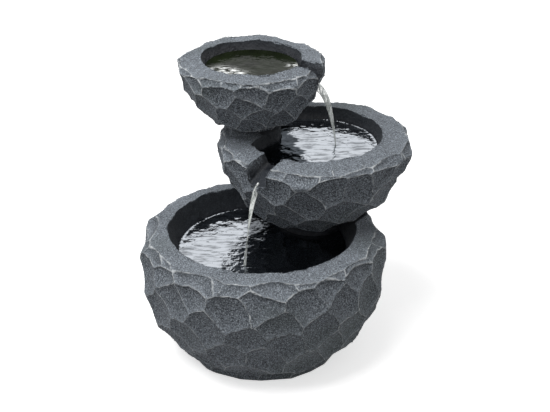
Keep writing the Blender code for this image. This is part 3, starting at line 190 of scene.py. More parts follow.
LOWER = {
    "node": "lower_bowl", "plate": "base_plate", "screws": 4, "ledge": 0.0100,
    "axis": Vector((0.0, 0.0, 0.0)), "ball": 0.2045, "centre_z": 0.1553, "foot_z": 0.0,
    "lip_z": 0.2198, "lip_radius": 0.1561, "edge_z": 0.2122,
    "facets": 166, "rim_facets": 15, "phase": 0.4,
    "water_z": 0.180, "level": 0.180, "water_radius": 0.137, "floor_z": 0.045, "floor_radius": 0.108,
    "voxel": 0.0017, "scoop": 0.0052, "scoop_reach": 0.0290}
MIDDLE = {
    "node": "middle_bowl", "plate": "middle_plate", "screws": 3, "ledge": 0.0090,
    "axis": Vector((0.0853, 0.0898, 0.0)), "ball": 0.1650, "centre_z": 0.3467, "foot_z": 0.1900,
    "lip_z": 0.3500, "lip_radius": 0.1154, "edge_z": 0.3434,
    "facets": 128, "rim_facets": 13, "phase": 1.7,
    "water_z": 0.3250, "level": 0.3250, "water_radius": 0.1065, "floor_z": 0.2830,
    "floor_radius": 0.0850, "voxel": 0.0016, "scoop": 0.0046, "scoop_reach": 0.0265}


def wander(index, lane):
    """A repeatable number from -1 to 1, for work that a hand did by eye."""
    value = sin(index * 12.9898 + lane * 78.233) * 43758.5453
    return 2.0 * (value - int(value // 1)) - 1.0


def chisel_flats(bowl):
    """Every chisel flat of a bowl, in the fountain's own frame: a point on it, its normal, and the
    middle, long direction, reach and depth of the hollow that the chisel left in it."""
    flats = []
    ball = bowl["ball"]
    phase = bowl["phase"]
    centre = bowl["axis"] + Vector((0.0, 0.0, bowl["centre_z"]))
    spacing = sqrt(4.0 * pi / bowl["facets"])
    for index in range(bowl["facets"]):
        height = 1.0 - 2.0 * (index + 0.5) / bowl["facets"]
        height += FLAT_WANDER * spacing * wander(index, phase) * 0.5
        height = max(-1.0, min(1.0, height))
        spread = sqrt(max(0.0, 1.0 - height * height))
        angle = index * GOLDEN_ANGLE + phase
        angle += FLAT_WANDER * spacing * wander(index, phase + 1.0) * 0.5 / max(spread, spacing)
        normal = Vector((cos(angle) * spread, sin(angle) * spread, height))
        depth = FLAT_DEPTH + FLAT_DEPTH_SPREAD * wander(index, phase + 2.0)
        touch = centre + normal * ball * (1.0 - depth)
        if bowl["foot_z"] - ball * 0.10 < touch.z < bowl["edge_z"]:
            along = normal.orthogonal().normalized()
            along.rotate(Quaternion(normal, pi * wander(index, phase + 9.0)))
            middle = touch + along * bowl["scoop_reach"] * SCOOP_WANDER * wander(index, phase + 10.0)
            down = Vector((0.0, 0.0, -1.0)) + normal * normal.z
            middle += down * bowl["scoop_reach"] * SCOOP_DROP
            reach = bowl["scoop_reach"] * (1.0 + SCOOP_REACH_SPREAD * wander(index, phase + 11.0))
            sunk = bowl["scoop"] * (1.0 + SCOOP_DEPTH_SPREAD * wander(index, phase + 12.0))
            flats.append((touch, normal, middle, along, reach, sunk))
    slope = atan2(bowl["lip_z"] - bowl["edge_z"], ball - bowl["lip_radius"])
    for index in range(bowl["rim_facets"]):
        stray = EVEN_TURN * wander(index, phase + 3.0)
        angle = 2.0 * pi * (index + stray) / bowl["rim_facets"] + phase
        tilt = slope * (1.0 + RIM_TILT_SPREAD * wander(index, phase + 4.0))
        normal = Vector((cos(angle) * sin(tilt), sin(angle) * sin(tilt), cos(tilt)))
        rise = RIM_WANDER * (wander(index, phase + 5.0) - 1.0)
        reach = bowl["lip_radius"]
        touch = bowl["axis"] + Vector((reach * cos(angle), reach * sin(angle), bowl["lip_z"] + rise))
        along = Vector((-sin(angle), cos(angle), 0.0))
        middle = touch + along.cross(normal) * (ball - reach) * 0.5
        flats.append((touch, normal, middle, along, bowl["scoop_reach"] * 1.3, bowl["scoop"] * 0.45))
    edge_radius = sqrt(ball * ball - (bowl["edge_z"] - bowl["centre_z"]) ** 2)
    corner_flats = int(bowl["rim_facets"] * CORNER_FLATS)
    for index in range(corner_flats):
        stray = EVEN_TURN * wander(index, phase + 6.0)
        angle = 2.0 * pi * (index + stray) / corner_flats + phase
        tilt = pi / 4.0 * (1.0 + CORNER_TILT_SPREAD * wander(index, phase + 7.0))
        normal = Vector((cos(angle) * sin(tilt), sin(angle) * sin(tilt), cos(tilt)))
        corner = bowl["axis"] + Vector((edge_radius * cos(angle), edge_radius * sin(angle), 0.0))
        corner.z = bowl["edge_z"]
        touch = corner - normal * (CORNER_CUT + CORNER_SPREAD * wander(index, phase + 8.0))
        along = Vector((-sin(angle), cos(angle), 0.0))
        flats.append((touch, normal, touch, along, bowl["scoop_reach"] * 0.8, bowl["scoop"] * 0.4))
    return flats


def close_up():
    """Turn every face of the form in work outwards, and leave its mesh."""
    bpy.ops.mesh.select_all(action="SELECT")
    bpy.ops.mesh.normals_make_consistent(inside=False)
    bpy.ops.object.mode_set(mode="OBJECT")


def chiselled_block(name, bowl, flats, grow=0.0):
    """A block cut down flat by flat, then cut level at its foot and rim."""
    put_down()
    size = 2.4 * bowl["ball"]
    place = bowl["axis"] + Vector((0.0, 0.0, bowl["centre_z"]))
    bpy.ops.mesh.primitive_cube_add(size=size, location=place)
    block = bpy.context.object
    block.name = name
    ends = [(Vector((0.0, 0.0, bowl["foot_z"])), Vector((0.0, 0.0, -1.0)))]
    ends.append((Vector((0.0, 0.0, bowl["lip_z"])), Vector((0.0, 0.0, 1.0))))
    bpy.ops.object.transform_apply()
    bpy.ops.object.mode_set(mode="EDIT")
    cuts = [(flat[0] + flat[1] * grow, flat[1]) for flat in flats]
    for point, normal in cuts + ends:
        bpy.ops.mesh.select_all(action="SELECT")
        bpy.ops.mesh.bisect(plane_co=point, plane_no=normal, use_fill=True, clear_outer=True)
    close_up()
    return block


def thrown(name, axis, outline, steps=BASIN_STEPS):
    """A round form thrown ring by ring from the bottom up, through (radius, height) points."""
    put_down()
    radius, height = outline[0]
    bpy.ops.mesh.primitive_circle_add(
        vertices=steps, radius=radius, fill_type="NGON", location=(axis.x, axis.y, height))
    form = bpy.context.object
    form.name = name
    bpy.ops.object.transform_apply()
    bpy.ops.object.mode_set(mode="EDIT")
    bpy.ops.mesh.select_all(action="SELECT")
    for next_radius, next_height in outline[1:]:
        bpy.ops.mesh.extrude_region_move(
            TRANSFORM_OT_translate={"value": (0.0, 0.0, next_height - height)})
        share = next_radius / radius
        bpy.ops.transform.resize(
            value=(share, share, 1.0), center_override=(axis.x, axis.y, next_height))
        radius = next_radius
        height = next_height
    close_up()
    return form


def basin_outline(bowl, shrink=0.0, top_z=None):
    """Outline of a basin from its floor up, to above the rim or only to top_z."""
    slope = (bowl["lip_radius"] - bowl["water_radius"]) / (bowl["lip_z"] - bowl["water_z"])
    turn_radius = bowl["floor_radius"] + (bowl["water_radius"] - bowl["floor_radius"]) * 0.55
    turn_z = bowl["floor_z"] + (bowl["water_z"] - bowl["floor_z"]) * 0.22
    outline = [(bowl["floor_radius"] - shrink, bowl["floor_z"] + shrink)]
    outline.append((turn_radius - shrink, turn_z))
    if top_z is None:
        outline.append((bowl["water_radius"], bowl["water_z"]))
        outline.append((bowl["lip_radius"], bowl["lip_z"]))
        outline.append((bowl["lip_radius"] + slope * 0.03, bowl["lip_z"] + 0.03))
    else:
        outline.append((bowl["water_radius"] - shrink + slope * (top_z - bowl["water_z"]), top_z))
    return outline


def pick_up(piece):
    """Select one piece alone, to work on."""
    put_down()
    bpy.context.view_layer.objects.active = piece
    piece.select_set(True)


def touched_up(piece, kind, name, **settings):
    """Apply one modifier to a piece."""
    pick_up(piece)
    step = piece.modifiers.new(name, kind)
    for key, value in settings.items():
        setattr(step, key, value)
    bpy.ops.object.modifier_apply(modifier=name)


def combine(piece, tool, operation="DIFFERENCE"):
    """Cut a piece with a tool, join the two, or keep what they share, and put the tool away."""
    touched_up(piece, "BOOLEAN", "combine", operation=operation, solver="EXACT", object=tool)
    bpy.data.objects.remove(tool, do_unlink=True)
    return piece


def carved(name, place, turn, low, high, flare=1.0):
    """A box-shaped cutter between two corners, wider at its top by flare, turned and set in place."""
    put_down()
    low = Vector(low)
    high = Vector(high)
    bpy.ops.mesh.primitive_cube_add(size=1.0, location=(0.0, 0.0, 0.0))
    tool = bpy.context.object
    tool.name = name
    bpy.ops.object.mode_set(mode="EDIT")
    bpy.ops.mesh.select_all(action="SELECT")
    bpy.ops.transform.resize(value=high - low, center_override=(0.0, 0.0, 0.0))
    bpy.ops.transform.translate(value=(low + high) / 2.0)
    bpy.ops.object.mode_set(mode="OBJECT")
    for vert in tool.data.vertices:
        if vert.co.z > (low.z + high.z) / 2.0:
            vert.co.y *= flare
    tool.location = place
    tool.rotation_euler = turn
    bpy.ops.object.transform_apply()
    return tool


def upright(name, axis, radius, low, high, steps=64):
    """A plain round cutter that stands on its end."""
    return thrown(name, axis, [(radius, low), (radius, high)], steps)


def held(values):
    """Values held between 0 and 1."""
    return np.clip(values, 0.0, 1.0)


def add_group(piece, name, weights):
    """Give a piece a vertex group from one weight for each vertex."""
    group = piece.vertex_groups.new(name=name)
    steps = np.round(held(weights) * 40.0).astype(int)
    for step in range(1, 41):
        chosen = np.nonzero(steps == step)[0]
        if len(chosen):
            group.add(chosen.tolist(), step / 40.0, "REPLACE")


def add_mask(piece, name, values):
    """Give a piece an attribute that its material reads."""
    mask = piece.data.attributes.new(name, "FLOAT", "POINT")
    mask.data.foreach_set("value", values.astype(np.float32))


def skin_of(piece, what="co"):
    """A piece's vertices as an array, or with "normal" their normals."""
    values = np.zeros(len(piece.data.vertices) * 3, np.float32)
    piece.data.vertices.foreach_get(what, values)
    return values.reshape(-1, 3)


def displaced(piece, texture, strength, group, middle=0.5):
    """Move a piece's skin in or out along its normals by a texture, or all alike without one."""
    touched_up(
        piece, "DISPLACE", "displaced", strength=strength, mid_level=middle, vertex_group=group,
        texture=texture)


def scooped(coords, flats):
    """How deep the chisel's hollows lie under each point, how far the next one's are behind, the
    room left under the flats, and the two flats that meet nearest to the point."""
    deepest = np.full(len(coords), -1.0, np.float32)
    second = deepest.copy()
    room = np.full(len(coords), 1.0, np.float32)
    own = np.zeros(len(coords), np.int32)
    other = own.copy()
    for index, (point, normal, middle, along, reach, depth) in enumerate(flats):
        normal = np.array(normal, np.float32)
        slack = (np.array(point, np.float32) - coords) @ normal
        offset = coords - np.array(middle, np.float32)
        length = offset @ np.array(along, np.float32)
        spread = (offset ** 2).sum(1) - (offset @ normal) ** 2 - 0.35 * length ** 2
        sink = depth * (1.0 - spread / reach ** 2) - slack
        leads = sink > deepest
        follows = (sink > second) & ~leads
        other = np.where(leads, own, np.where(follows, index, other))
        own = np.where(leads, index, own)
        second = np.where(leads, deepest, np.where(follows, sink, second))
        deepest = np.maximum(deepest, sink)
        room = np.minimum(room, slack)
    return deepest, deepest - second, room, own, other


def hand_drift(coords, normals):
    """Sideways drift of the chisel at each point, along the skin."""
    drift = np.zeros_like(coords)
    for pitch, share, turn in DRIFT_WAVES:
        for axis in range(3):
            bend = 2.2 * np.sin(coords[:, (axis + 2) % 3] * pitch * 0.7 + turn)
            wave = coords[:, (axis + 1) % 3] * pitch + bend
            drift[:, axis] += share * np.sin(wave + turn * (axis + 1.0))
    drift *= HAND_DRIFT
    return drift - normals * (drift * normals).sum(1)[:, None]


def weathered(piece, bowl, flats, calm):
    """Turn a sharp block into chiselled rock: scooped flats, thin arrises and an uneven skin.

    calm gives one value for each vertex, 0 where the skin stays true because something seats there.
    The masks tell the stone's finish what lies where. "arris" grows towards a worn arris, "brow" is
    above 0 just under one, where the finish paints shade, and below 0 just over it, where it paints
    light, "worked" is 1 on the chiselled outside and 0 in the basin, where the finish paints shade,
    and "wet" is 1 on the basin's wall up to the water.
    """
    touched_up(piece, "REMESH", "grain", mode="VOXEL", voxel_size=bowl["voxel"])
    coords = skin_of(piece)
    normals = skin_of(piece, "normal")
    facing = np.array([flat[1] for flat in flats], np.float32)
    drift = hand_drift(coords, normals)
    steady = calm(coords)
    gap, room, own, other = scooped(coords + drift, flats)[1:]
    across = facing[other] - facing[own]
    across -= normals * (across * normals).sum(1)[:, None]
    across /= np.maximum(np.linalg.norm(across, axis=1), 0.001)[:, None]
    step = np.where((gap < bowl["voxel"] * 0.45) & (room < PROUD + 0.001), gap / 0.75, 0.0)
    coords += across * (step * steady)[:, None]
    sink, gap, room, own, other = scooped(coords + drift, flats)
    outside = held(1.0 - (room + PROUD - 0.0018) / 0.0015)
    sink = np.clip(sink + PROUD, -ARRIS_RISE, 0.02) * outside * steady
    coords -= normals * sink[:, None]
    coords[:, 2] = np.clip(coords[:, 2], bowl["foot_z"], bowl["lip_z"])
    piece.data.vertices.foreach_set("co", coords.ravel())
    add_group(piece, "open", 1.0 - 0.95 * held(1.0 - gap / ARRIS_BAND) * outside)
    lip = np.exp(-np.hypot(room + PROUD, bowl["lip_z"] - coords[:, 2]) / 0.012)
    inside = 1.0 - outside
    rim_first = len(flats) - bowl["rim_facets"] - int(bowl["rim_facets"] * CORNER_FLATS)
    rim = ((own >= rim_first) & (own < rim_first + bowl["rim_facets"])) * outside
    add_group(piece, "skin", steady * (0.45 + 0.55 * np.maximum(inside, lip)))
    add_group(piece, "rim", steady * np.maximum(rim, lip * 0.8))
    on_rim = rim * (other >= rim_first) * (other < rim_first + bowl["rim_facets"])
    from_axis = np.hypot(coords[:, 0] - bowl["axis"].x, coords[:, 1] - bowl["axis"].y)
    inward = 1.0 - (from_axis - bowl["lip_radius"]) / (bowl["ball"] - bowl["lip_radius"])
    on_rim = on_rim * held(inward * 4.0 - 1.6)
    turn = np.linalg.norm(facing[other] - facing[own], axis=1)
    from_seam = np.minimum(gap * USUAL_TURN / np.maximum(turn, 0.05), SEAM_REACH)
    near_seam = (SEAM_REACH - from_seam) * outside * (1.0 - on_rim)
    add_mask(piece, "arris", near_seam)
    # Painted shade and light: above 0 just under an arris, where the next flat faces more upwards,
    # and below 0 just over one.
    above = np.clip((facing[other] - facing[own])[:, 2] * 3.5, -1.0, 1.0)
    add_mask(piece, "painted_brow_shading", above * held(1.0 - gap / BROW_PAINT_REACH) * outside)
    # Where this mask is 0 the finish paints shade.
    beyond_lip = np.clip((from_axis - bowl["lip_radius"] - 0.004) / 0.008, 0.0, 0.8)
    add_mask(piece, "worked", np.maximum(outside, beyond_lip))
    wet = held(1.0 - (coords[:, 2] - bowl["water_z"]) / WET_FADE)
    add_mask(piece, "wet", wet * inside)
    touched_up(piece, "SMOOTH", "worn", factor=0.5, iterations=6, vertex_group="rim")
    displaced(piece, LUMPS, LUMP_RISE, "skin", SKIN_MIDDLE)
    displaced(piece, PITS, PIT_SINK, "skin", SKIN_MIDDLE)
    share = MOST_TRIANGLES / (2.0 * len(piece.data.polygons))
    touched_up(piece, "DECIMATE", "eased", ratio=min(1.0, share), vertex_group="open")
    low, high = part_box(bowl["node"])
    coords = np.clip(skin_of(piece), np.array(low) + CAD_ROOM, np.array(high) - CAD_ROOM)
    coords[:, 2] = np.clip(coords[:, 2], bowl["foot_z"], bowl["lip_z"])
    piece.data.vertices.foreach_set("co", coords.ravel())
    return piece


def hollowed(piece, *tools):
    """Cut a finished casting's hollow and bores in one go, and shade it with crisp cut edges."""
    hollow = tools[0]
    for tool in tools[1:]:
        combine(hollow, tool, "UNION")
    combine(piece, hollow)
    pick_up(piece)
    bpy.ops.object.shade_smooth_by_angle(angle=radians(50.0))


def foot_hollow(bowl, roof_z, reach):
    """Cutter for the hollow under a bowl, with the rebate of the foot plate that closes it."""
    low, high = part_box(bowl["plate"])
    rebate = (high.x - low.x) / 2.0 + GAP
    rebate_z = bowl["foot_z"] + PLATE_ROOM
    inner = bowl["ball"] * (1.0 - FLAT_DEPTH) - WALL - CRUST
    outline = [(rebate, bowl["foot_z"] - WALL), (rebate, rebate_z)]
    outline.append((rebate - bowl["ledge"], rebate_z))
    for index in range(6):
        height = rebate_z + HOLLOW_CORNER + (roof_z - rebate_z - HOLLOW_CORNER) * index / 5.0
        outline.append((min(reach, sqrt(inner ** 2 - (height - bowl["centre_z"]) ** 2)), height))
    return thrown("cut_hollow", bowl["axis"], outline, 48)


def screw_pilots(bowl):
    """Cutters for the pilot holes of a foot plate's screws, where the CAD screws stand."""
    pilots = []
    start = bowl["foot_z"] - WALL
    for index in range(bowl["screws"]):
        low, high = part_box(bowl["plate"].replace("plate", "screw") + "_" + str(index + 1))
        pilots.append(upright("cut_pilot", (low + high) / 2.0, PILOT_RADIUS, start, high.z + GAP, 12))
    return pilots


LUMPS = bpy.data.textures.new("stone_lumps", "CLOUDS")
LUMPS.noise_scale = 0.020
LUMPS.noise_depth = 3
PITS = bpy.data.textures.new("stone_pits", "CLOUDS")
PITS.noise_scale = 0.0045
PITS.noise_depth = 2
PITS.noise_type = "HARD_NOISE"

lower_flats = chisel_flats(LOWER)
middle_flats = chisel_flats(MIDDLE)
OUT_ANGLE = atan2(MIDDLE["axis"].y, MIDDLE["axis"].x)
OUT_TURN = (0.0, 0.0, OUT_ANGLE)
ALCOVE_FLOOR = MIDDLE["axis"] + Vector((0.0, 0.0, LOWER["floor_z"]))
ALCOVE_ROOF_Z = 0.1567
ALCOVE_FRONT = -0.058
ALCOVE_BACK = 0.032
ALCOVE_HALF = 0.034
LOWER_ROOF_Z = 0.110
GLAND_Z = 0.1400
GLAND_BORE = 0.0053
GLAND_POCKET = 0.0091
GLAND_INNER = 0.140        # from the bowl's middle, inside and outside the back wall
GLAND_OUTER = 0.215
GLAND_SUNK = 0.011


def alcove_cutter(room=0.0):
    """The space for the pump under the middle bowl, or that space grown by a wall."""
    low = (ALCOVE_FRONT, -ALCOVE_HALF - room, 0.0)
    high = (ALCOVE_BACK + room, ALCOVE_HALF + room, ALCOVE_ROOF_Z - LOWER["floor_z"])
    return carved("cut_alcove", ALCOVE_FLOOR, OUT_TURN, low, high)


def lying(name, radius, start, end, height):
    """A round cutter that lies along the direction from the lower bowl's middle to its back."""
    tool = upright(name, Vector((0.0, 0.0, 0.0)), radius, start, end, 24)
    pick_up(tool)
    tool.location = (0.0, 0.0, height)
    tool.rotation_euler = (0.0, pi / 2.0, OUT_ANGLE)
    bpy.ops.object.transform_apply()
    return tool


lower_stone = chiselled_block("lower_bowl_stone", LOWER, lower_flats, PROUD)
combine(lower_stone, thrown("cut_lower_basin", LOWER["axis"], basin_outline(LOWER)))
combine(lower_stone, chiselled_block("cut_saddle", MIDDLE, middle_flats, SEAT_ROOM))


def lower_calm(coords):
    """0 on the saddle under the middle bowl and at the foot, 1 on the open skin."""
    points = np.array([flat[0] for flat in middle_flats], np.float32)
    normals = np.array([flat[1] for flat in middle_flats], np.float32)
    saddle_room = ((coords @ normals.T) - (points * normals).sum(1)[None, :]).max(1)
    foot = held((coords[:, 2] - 0.002) / 0.006)
    return held((saddle_room - 0.003) / 0.005) * foot


weathered(lower_stone, LOWER, lower_flats, lower_calm)
lower_hollow = foot_hollow(LOWER, LOWER_ROOF_Z, LOWER["ball"])
combine(lower_hollow, thrown("keep_basin_skin", LOWER["axis"], basin_outline(LOWER, -WALL, 0.2), 48))
combine(lower_hollow, alcove_cutter(WALL))
gland_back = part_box("lead_gland")[1]
pocket_start = hypot(gland_back.x, gland_back.y) - GLAND_SUNK
hollowed(
    lower_stone, lower_hollow,
    lying("cut_gland", GLAND_BORE, GLAND_INNER, GLAND_OUTER, GLAND_Z),
    lying("cut_gland_pocket", GLAND_POCKET, pocket_start, GLAND_OUTER, GLAND_Z),
    alcove_cutter(), *screw_pilots(LOWER))
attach(lower_stone, "root")
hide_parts("lower_bowl")

# Pump housing: a hood in the same resin, set against the lower basin's back wall. The pump stands
# in its alcove behind the grille, and its narrow neck carries the middle bowl above the water.
HOUSING_RADIUS = 0.085
HOUSING_TOP_Z = 0.1660
NECK_RADIUS = 0.0580
SEAT_Z = 0.1897
MOUTH = ((-0.098, -0.030, 0.0), (-0.052, 0.030, 0.080))
GRILLE_SLOT = ((-0.0665, -0.0380, 0.0), (-0.0625, 0.0380, 0.175))
THREAD_BORE = 0.0088
FLANGE_BORE = 0.0144
FLANGE_SUNK = 0.0057


def fitting_bore(axis, deck_top, deck_bottom):
    """Cutter for a fitting's bore through a deck, with the sunk ring of its flange."""
    sunk = deck_top - FLANGE_SUNK
    outline = [(THREAD_BORE, deck_bottom - WALL), (THREAD_BORE, sunk)]
    outline += [(FLANGE_BORE, sunk), (FLANGE_BORE, deck_top + WALL)]
    return thrown("cut_fitting", axis, outline, 48)


def housing_form(name, room=0.0, top_z=SEAT_Z):
    """The round housing with its neck, or the space that it fills in the water."""
    outline = [(HOUSING_RADIUS + room, 0.035), (HOUSING_RADIUS + room, HOUSING_TOP_Z + room)]
    outline += [(NECK_RADIUS + room, HOUSING_TOP_Z + room), (NECK_RADIUS + room, top_z)]
    return thrown(name, MIDDLE["axis"], outline, 64)


pump_hood = housing_form("pump_housing_stone")
combine(pump_hood, thrown("basin_room", LOWER["axis"], basin_outline(LOWER, GAP, 0.22)), "INTERSECT")
touched_up(pump_hood, "REMESH", "grain", mode="VOXEL", voxel_size=LOWER["voxel"])
coords = skin_of(pump_hood)
wall_room = LOWER["water_radius"] - np.hypot(coords[:, 0], coords[:, 1])
seat_room = np.minimum(SEAT_Z - coords[:, 2], coords[:, 2] - LOWER["floor_z"])
add_group(pump_hood, "skin", held(np.minimum(wall_room, seat_room) / 0.006))
add_mask(pump_hood, "wet", held(1.0 - (coords[:, 2] - LOWER["water_z"]) / WET_FADE))
displaced(pump_hood, LUMPS, strength=0.0034, group="skin", middle=0.8)
displaced(pump_hood, PITS, strength=0.0016, group="skin", middle=0.8)
hollowed(
    pump_hood, alcove_cutter(),
    carved("cut_mouth", ALCOVE_FLOOR, OUT_TURN, *MOUTH),
    carved("cut_grille_slot", ALCOVE_FLOOR, OUT_TURN, *GRILLE_SLOT),
    fitting_bore(MIDDLE["axis"], SEAT_Z, ALCOVE_ROOF_Z))
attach(pump_hood, "root")
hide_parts("pump_housing")

# Middle bowl: a smaller casting of the same resin, standing on the pump housing's neck. A shoulder
# in its basin carries the top bowl, and a channel cut through its rim pours into the lower basin.
MIDDLE_HOLLOW_RADIUS = 0.118
SHOULDER_RADIUS = 0.050
SHOULDER_HOLLOW_RADIUS = 0.030
SHOULDER_ROOF_Z = 0.3330
FLANK_ANGLE = radians(205.7)
FLANK_SINK = 0.004
MIDDLE_SPOUT_ANGLE = radians(234.0)
MIDDLE_CHANNEL = (0.3235, 0.3075, 0.028, 0.040)
LIP_OFFSET = 0.012
LIP_REACH = 0.050
LIP_ROLL = radians(40.0)
TOP = {
    "node": "top_bowl", "plate": "top_plate", "screws": 3, "ledge": 0.0080,
    "axis": Vector((-0.0175, 0.1212, 0.0)), "ball": 0.1245, "centre_z": 0.4690, "foot_z": 0.3517,
    "lip_z": 0.4721, "lip_radius": 0.0841, "edge_z": 0.4684,
    "facets": 110, "rim_facets": 11, "phase": 2.9,
    "water_z": 0.4575, "level": 0.4530, "water_radius": 0.0785, "floor_z": 0.4250,
    "floor_radius": 0.0560, "voxel": 0.0013, "scoop": 0.0038, "scoop_reach": 0.0215}


def pouring_channel(bowl, angle, in_z, out_z, floor_width, mouth_width):
    """Cutter for a spout: a trough that runs out and down through the rim, from in_z to out_z."""
    run = bowl["ball"] - bowl["lip_radius"]
    pitch = atan2(in_z - out_z, run)
    length = 2.4 * run / cos(pitch)
    middle = bowl["lip_radius"] + run / 2.0
    place = bowl["axis"] + Vector((middle * cos(angle), middle * sin(angle), (in_z + out_z) / 2.0))
    flare = (2.0 * mouth_width - floor_width) / floor_width
    low = (-length / 2.0, -floor_width / 2.0, 0.0)
    high = (length / 2.0, floor_width / 2.0, 0.070)
    return carved("cut_spout", place, (0.0, pitch, angle), low, high, flare)


def worn_lip(bowl, angle, start, side, fall):
    """Cutter for the worn edge beside a spout: it falls outwards, and rises away from the channel."""
    outward = Vector((cos(angle), sin(angle), 0.0))
    across = Vector((-sin(angle), cos(angle), 0.0))
    place = bowl["axis"] + outward * start + across * side * LIP_OFFSET
    place.z = bowl["lip_z"] - LIP_OFFSET * 0.1
    low = (-0.010, min(0.0, side * LIP_REACH) - LIP_OFFSET * 0.5, 0.0)
    high = (0.070, max(0.0, side * LIP_REACH) + LIP_OFFSET * 0.5, 0.050)
    return carved("cut_lip", place, (side * LIP_ROLL, radians(fall), angle), low, high)


def shoulder_form(bowl, room=0.0):
    """What stands in the middle basin: the top bowl's shoulder, and the flank that joins it to the
    lip. room grows it, for the water round it."""
    form = upright("keep_shoulder", TOP["axis"], SHOULDER_RADIUS + room, 0.25, 0.45)
    start = bowl["axis"] + Vector((cos(FLANK_ANGLE), sin(FLANK_ANGLE), 0.0)) * bowl["lip_radius"]
    reach = TOP["axis"] - start
    lean = asin((SHOULDER_RADIUS - FLANK_SINK) / reach.length)
    turn = atan2(reach.y, reach.x) - lean
    low = (-0.050, -room, 0.25)
    high = (reach.length * cos(lean), 0.050, 0.45)
    return combine(form, carved("keep_flank", start, (0.0, 0.0, turn), low, high), "UNION")


middle_stone = chiselled_block("middle_bowl_stone", MIDDLE, middle_flats, PROUD)
middle_basin = thrown("cut_middle_basin", MIDDLE["axis"], basin_outline(MIDDLE))
combine(middle_basin, shoulder_form(MIDDLE))
combine(middle_stone, middle_basin)
combine(middle_stone, pouring_channel(MIDDLE, MIDDLE_SPOUT_ANGLE, *MIDDLE_CHANNEL))
combine(middle_stone, worn_lip(MIDDLE, MIDDLE_SPOUT_ANGLE, start=0.134, side=1.0, fall=32.0))


def middle_calm(coords):
    """0 at the foot that stands on the housing and under the top bowl's foot, 1 elsewhere."""
    foot = held((coords[:, 2] - MIDDLE["foot_z"] - 0.001) / 0.004)
    from_top = np.hypot(coords[:, 0] - TOP["axis"].x, coords[:, 1] - TOP["axis"].y)
    deck = held((from_top - 0.043) / 0.004)
    return foot * np.maximum(deck, coords[:, 2] < MIDDLE["lip_z"] - 0.004)


weathered(middle_stone, MIDDLE, middle_flats, middle_calm)
hollowed(
    middle_stone, foot_hollow(MIDDLE, MIDDLE["floor_z"] - WALL, MIDDLE_HOLLOW_RADIUS),
    upright("cut_shoulder", TOP["axis"], SHOULDER_HOLLOW_RADIUS, 0.260, SHOULDER_ROOF_Z, 48),
    fitting_bore(TOP["axis"], MIDDLE["lip_z"], SHOULDER_ROOF_Z),
    *screw_pilots(MIDDLE))
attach(middle_stone, "middle")
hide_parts("middle_bowl")

# Top bowl: the smallest casting. Water wells up from its outlet and leaves by the channel that
# points over the middle basin.
TOP_SPOUT_ANGLE = radians(-20.0)
TOP_CHANNEL = (0.4515, 0.4270, 0.022, 0.036)
top_flats = chisel_flats(TOP)
top_stone = chiselled_block("top_bowl_stone", TOP, top_flats, PROUD)
combine(top_stone, thrown("cut_top_basin", TOP["axis"], basin_outline(TOP)))
combine(top_stone, pouring_channel(TOP, TOP_SPOUT_ANGLE, *TOP_CHANNEL))
combine(top_stone, worn_lip(TOP, TOP_SPOUT_ANGLE, start=0.096, side=-1.0, fall=30.0))


def top_calm(coords):
    """0 at the foot, 1 elsewhere."""
    return held((coords[:, 2] - TOP["foot_z"] - 0.001) / 0.004)


weathered(top_stone, TOP, top_flats, top_calm)
hollowed(
    top_stone, foot_hollow(TOP, TOP["floor_z"] - WALL, TOP["floor_radius"] + WALL),
    upright("cut_outlet", TOP["axis"], THREAD_BORE, 0.40, 0.44, 48),
    *screw_pilots(TOP))
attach(top_stone, "top")
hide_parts("top_bowl")

# Stone finish on the three bowls and the pump housing: dark blue-grey resin with salt-and-pepper
# grit, pale where a dry brush caught the arrises, and nearly black and smoother where water keeps
# it wet. Painted light makes faces that turn up paler and lies just over the arrises; painted shade
# lies just under the arrises, in the basins and over the whole pump housing.
# The dark and pale grit tones are also the colours of the painted shade and painted light.
DARK_GRIT_AND_PAINTED_SHADE = (0.012, 0.0145, 0.018, 1.0)
GRIT_MIDDLE = (0.112, 0.127, 0.147, 1.0)
PALE_GRIT_AND_PAINTED_LIGHT = (0.340, 0.375, 0.415, 1.0)
ARRIS_PALE = (0.58, 0.605, 0.62, 1.0)
WET_TINT = (0.012, 0.014, 0.019, 1.0)
MOSS_TINT = (0.045, 0.062, 0.050, 1.0)
stone_resin, tree, shader = new_finish("stone_resin")


def noise(tree, coords, scale, detail=2.0, roughness=0.5):
    """One noise pattern on the piece's own coordinates."""
    pattern = tree.nodes.new("ShaderNodeTexNoise")
    pattern.inputs["Scale"].default_value = scale
    pattern.inputs["Detail"].default_value = detail
    pattern.inputs["Roughness"].default_value = roughness
    tree.links.new(coords, pattern.inputs["Vector"])
    return pattern.outputs["Fac"]


def ramp(tree, value, low, high, start=0.0, end=1.0):
    """A value spread from low..high to start..end, and held there."""
    spread = tree.nodes.new("ShaderNodeMapRange")
    spread.inputs["From Min"].default_value = low
    spread.inputs["From Max"].default_value = high
    spread.inputs["To Min"].default_value = start
    spread.inputs["To Max"].default_value = end
    tree.links.new(value, spread.inputs["Value"])
    return spread.outputs["Result"]


def mix(tree, factor, first, second):
    """Two colours mixed by a mask."""
    blend = tree.nodes.new("ShaderNodeMix")
    blend.data_type = "RGBA"
    tree.links.new(factor, blend.inputs["Factor"])
    for socket, colour in (("A", first), ("B", second)):
        if isinstance(colour, tuple):
            blend.inputs[socket].default_value = colour
        else:
            tree.links.new(colour, blend.inputs[socket])
    return blend.outputs["Result"]


def maths(tree, operation, first, second):
    """Two values, or a value and a number, put through one sum."""
    step = tree.nodes.new("ShaderNodeMath")
    step.operation = operation
    for index, value in enumerate((first, second)):
        if isinstance(value, float):
            step.inputs[index].default_value = value
        else:
            tree.links.new(value, step.inputs[index])
    return step.outputs[0]


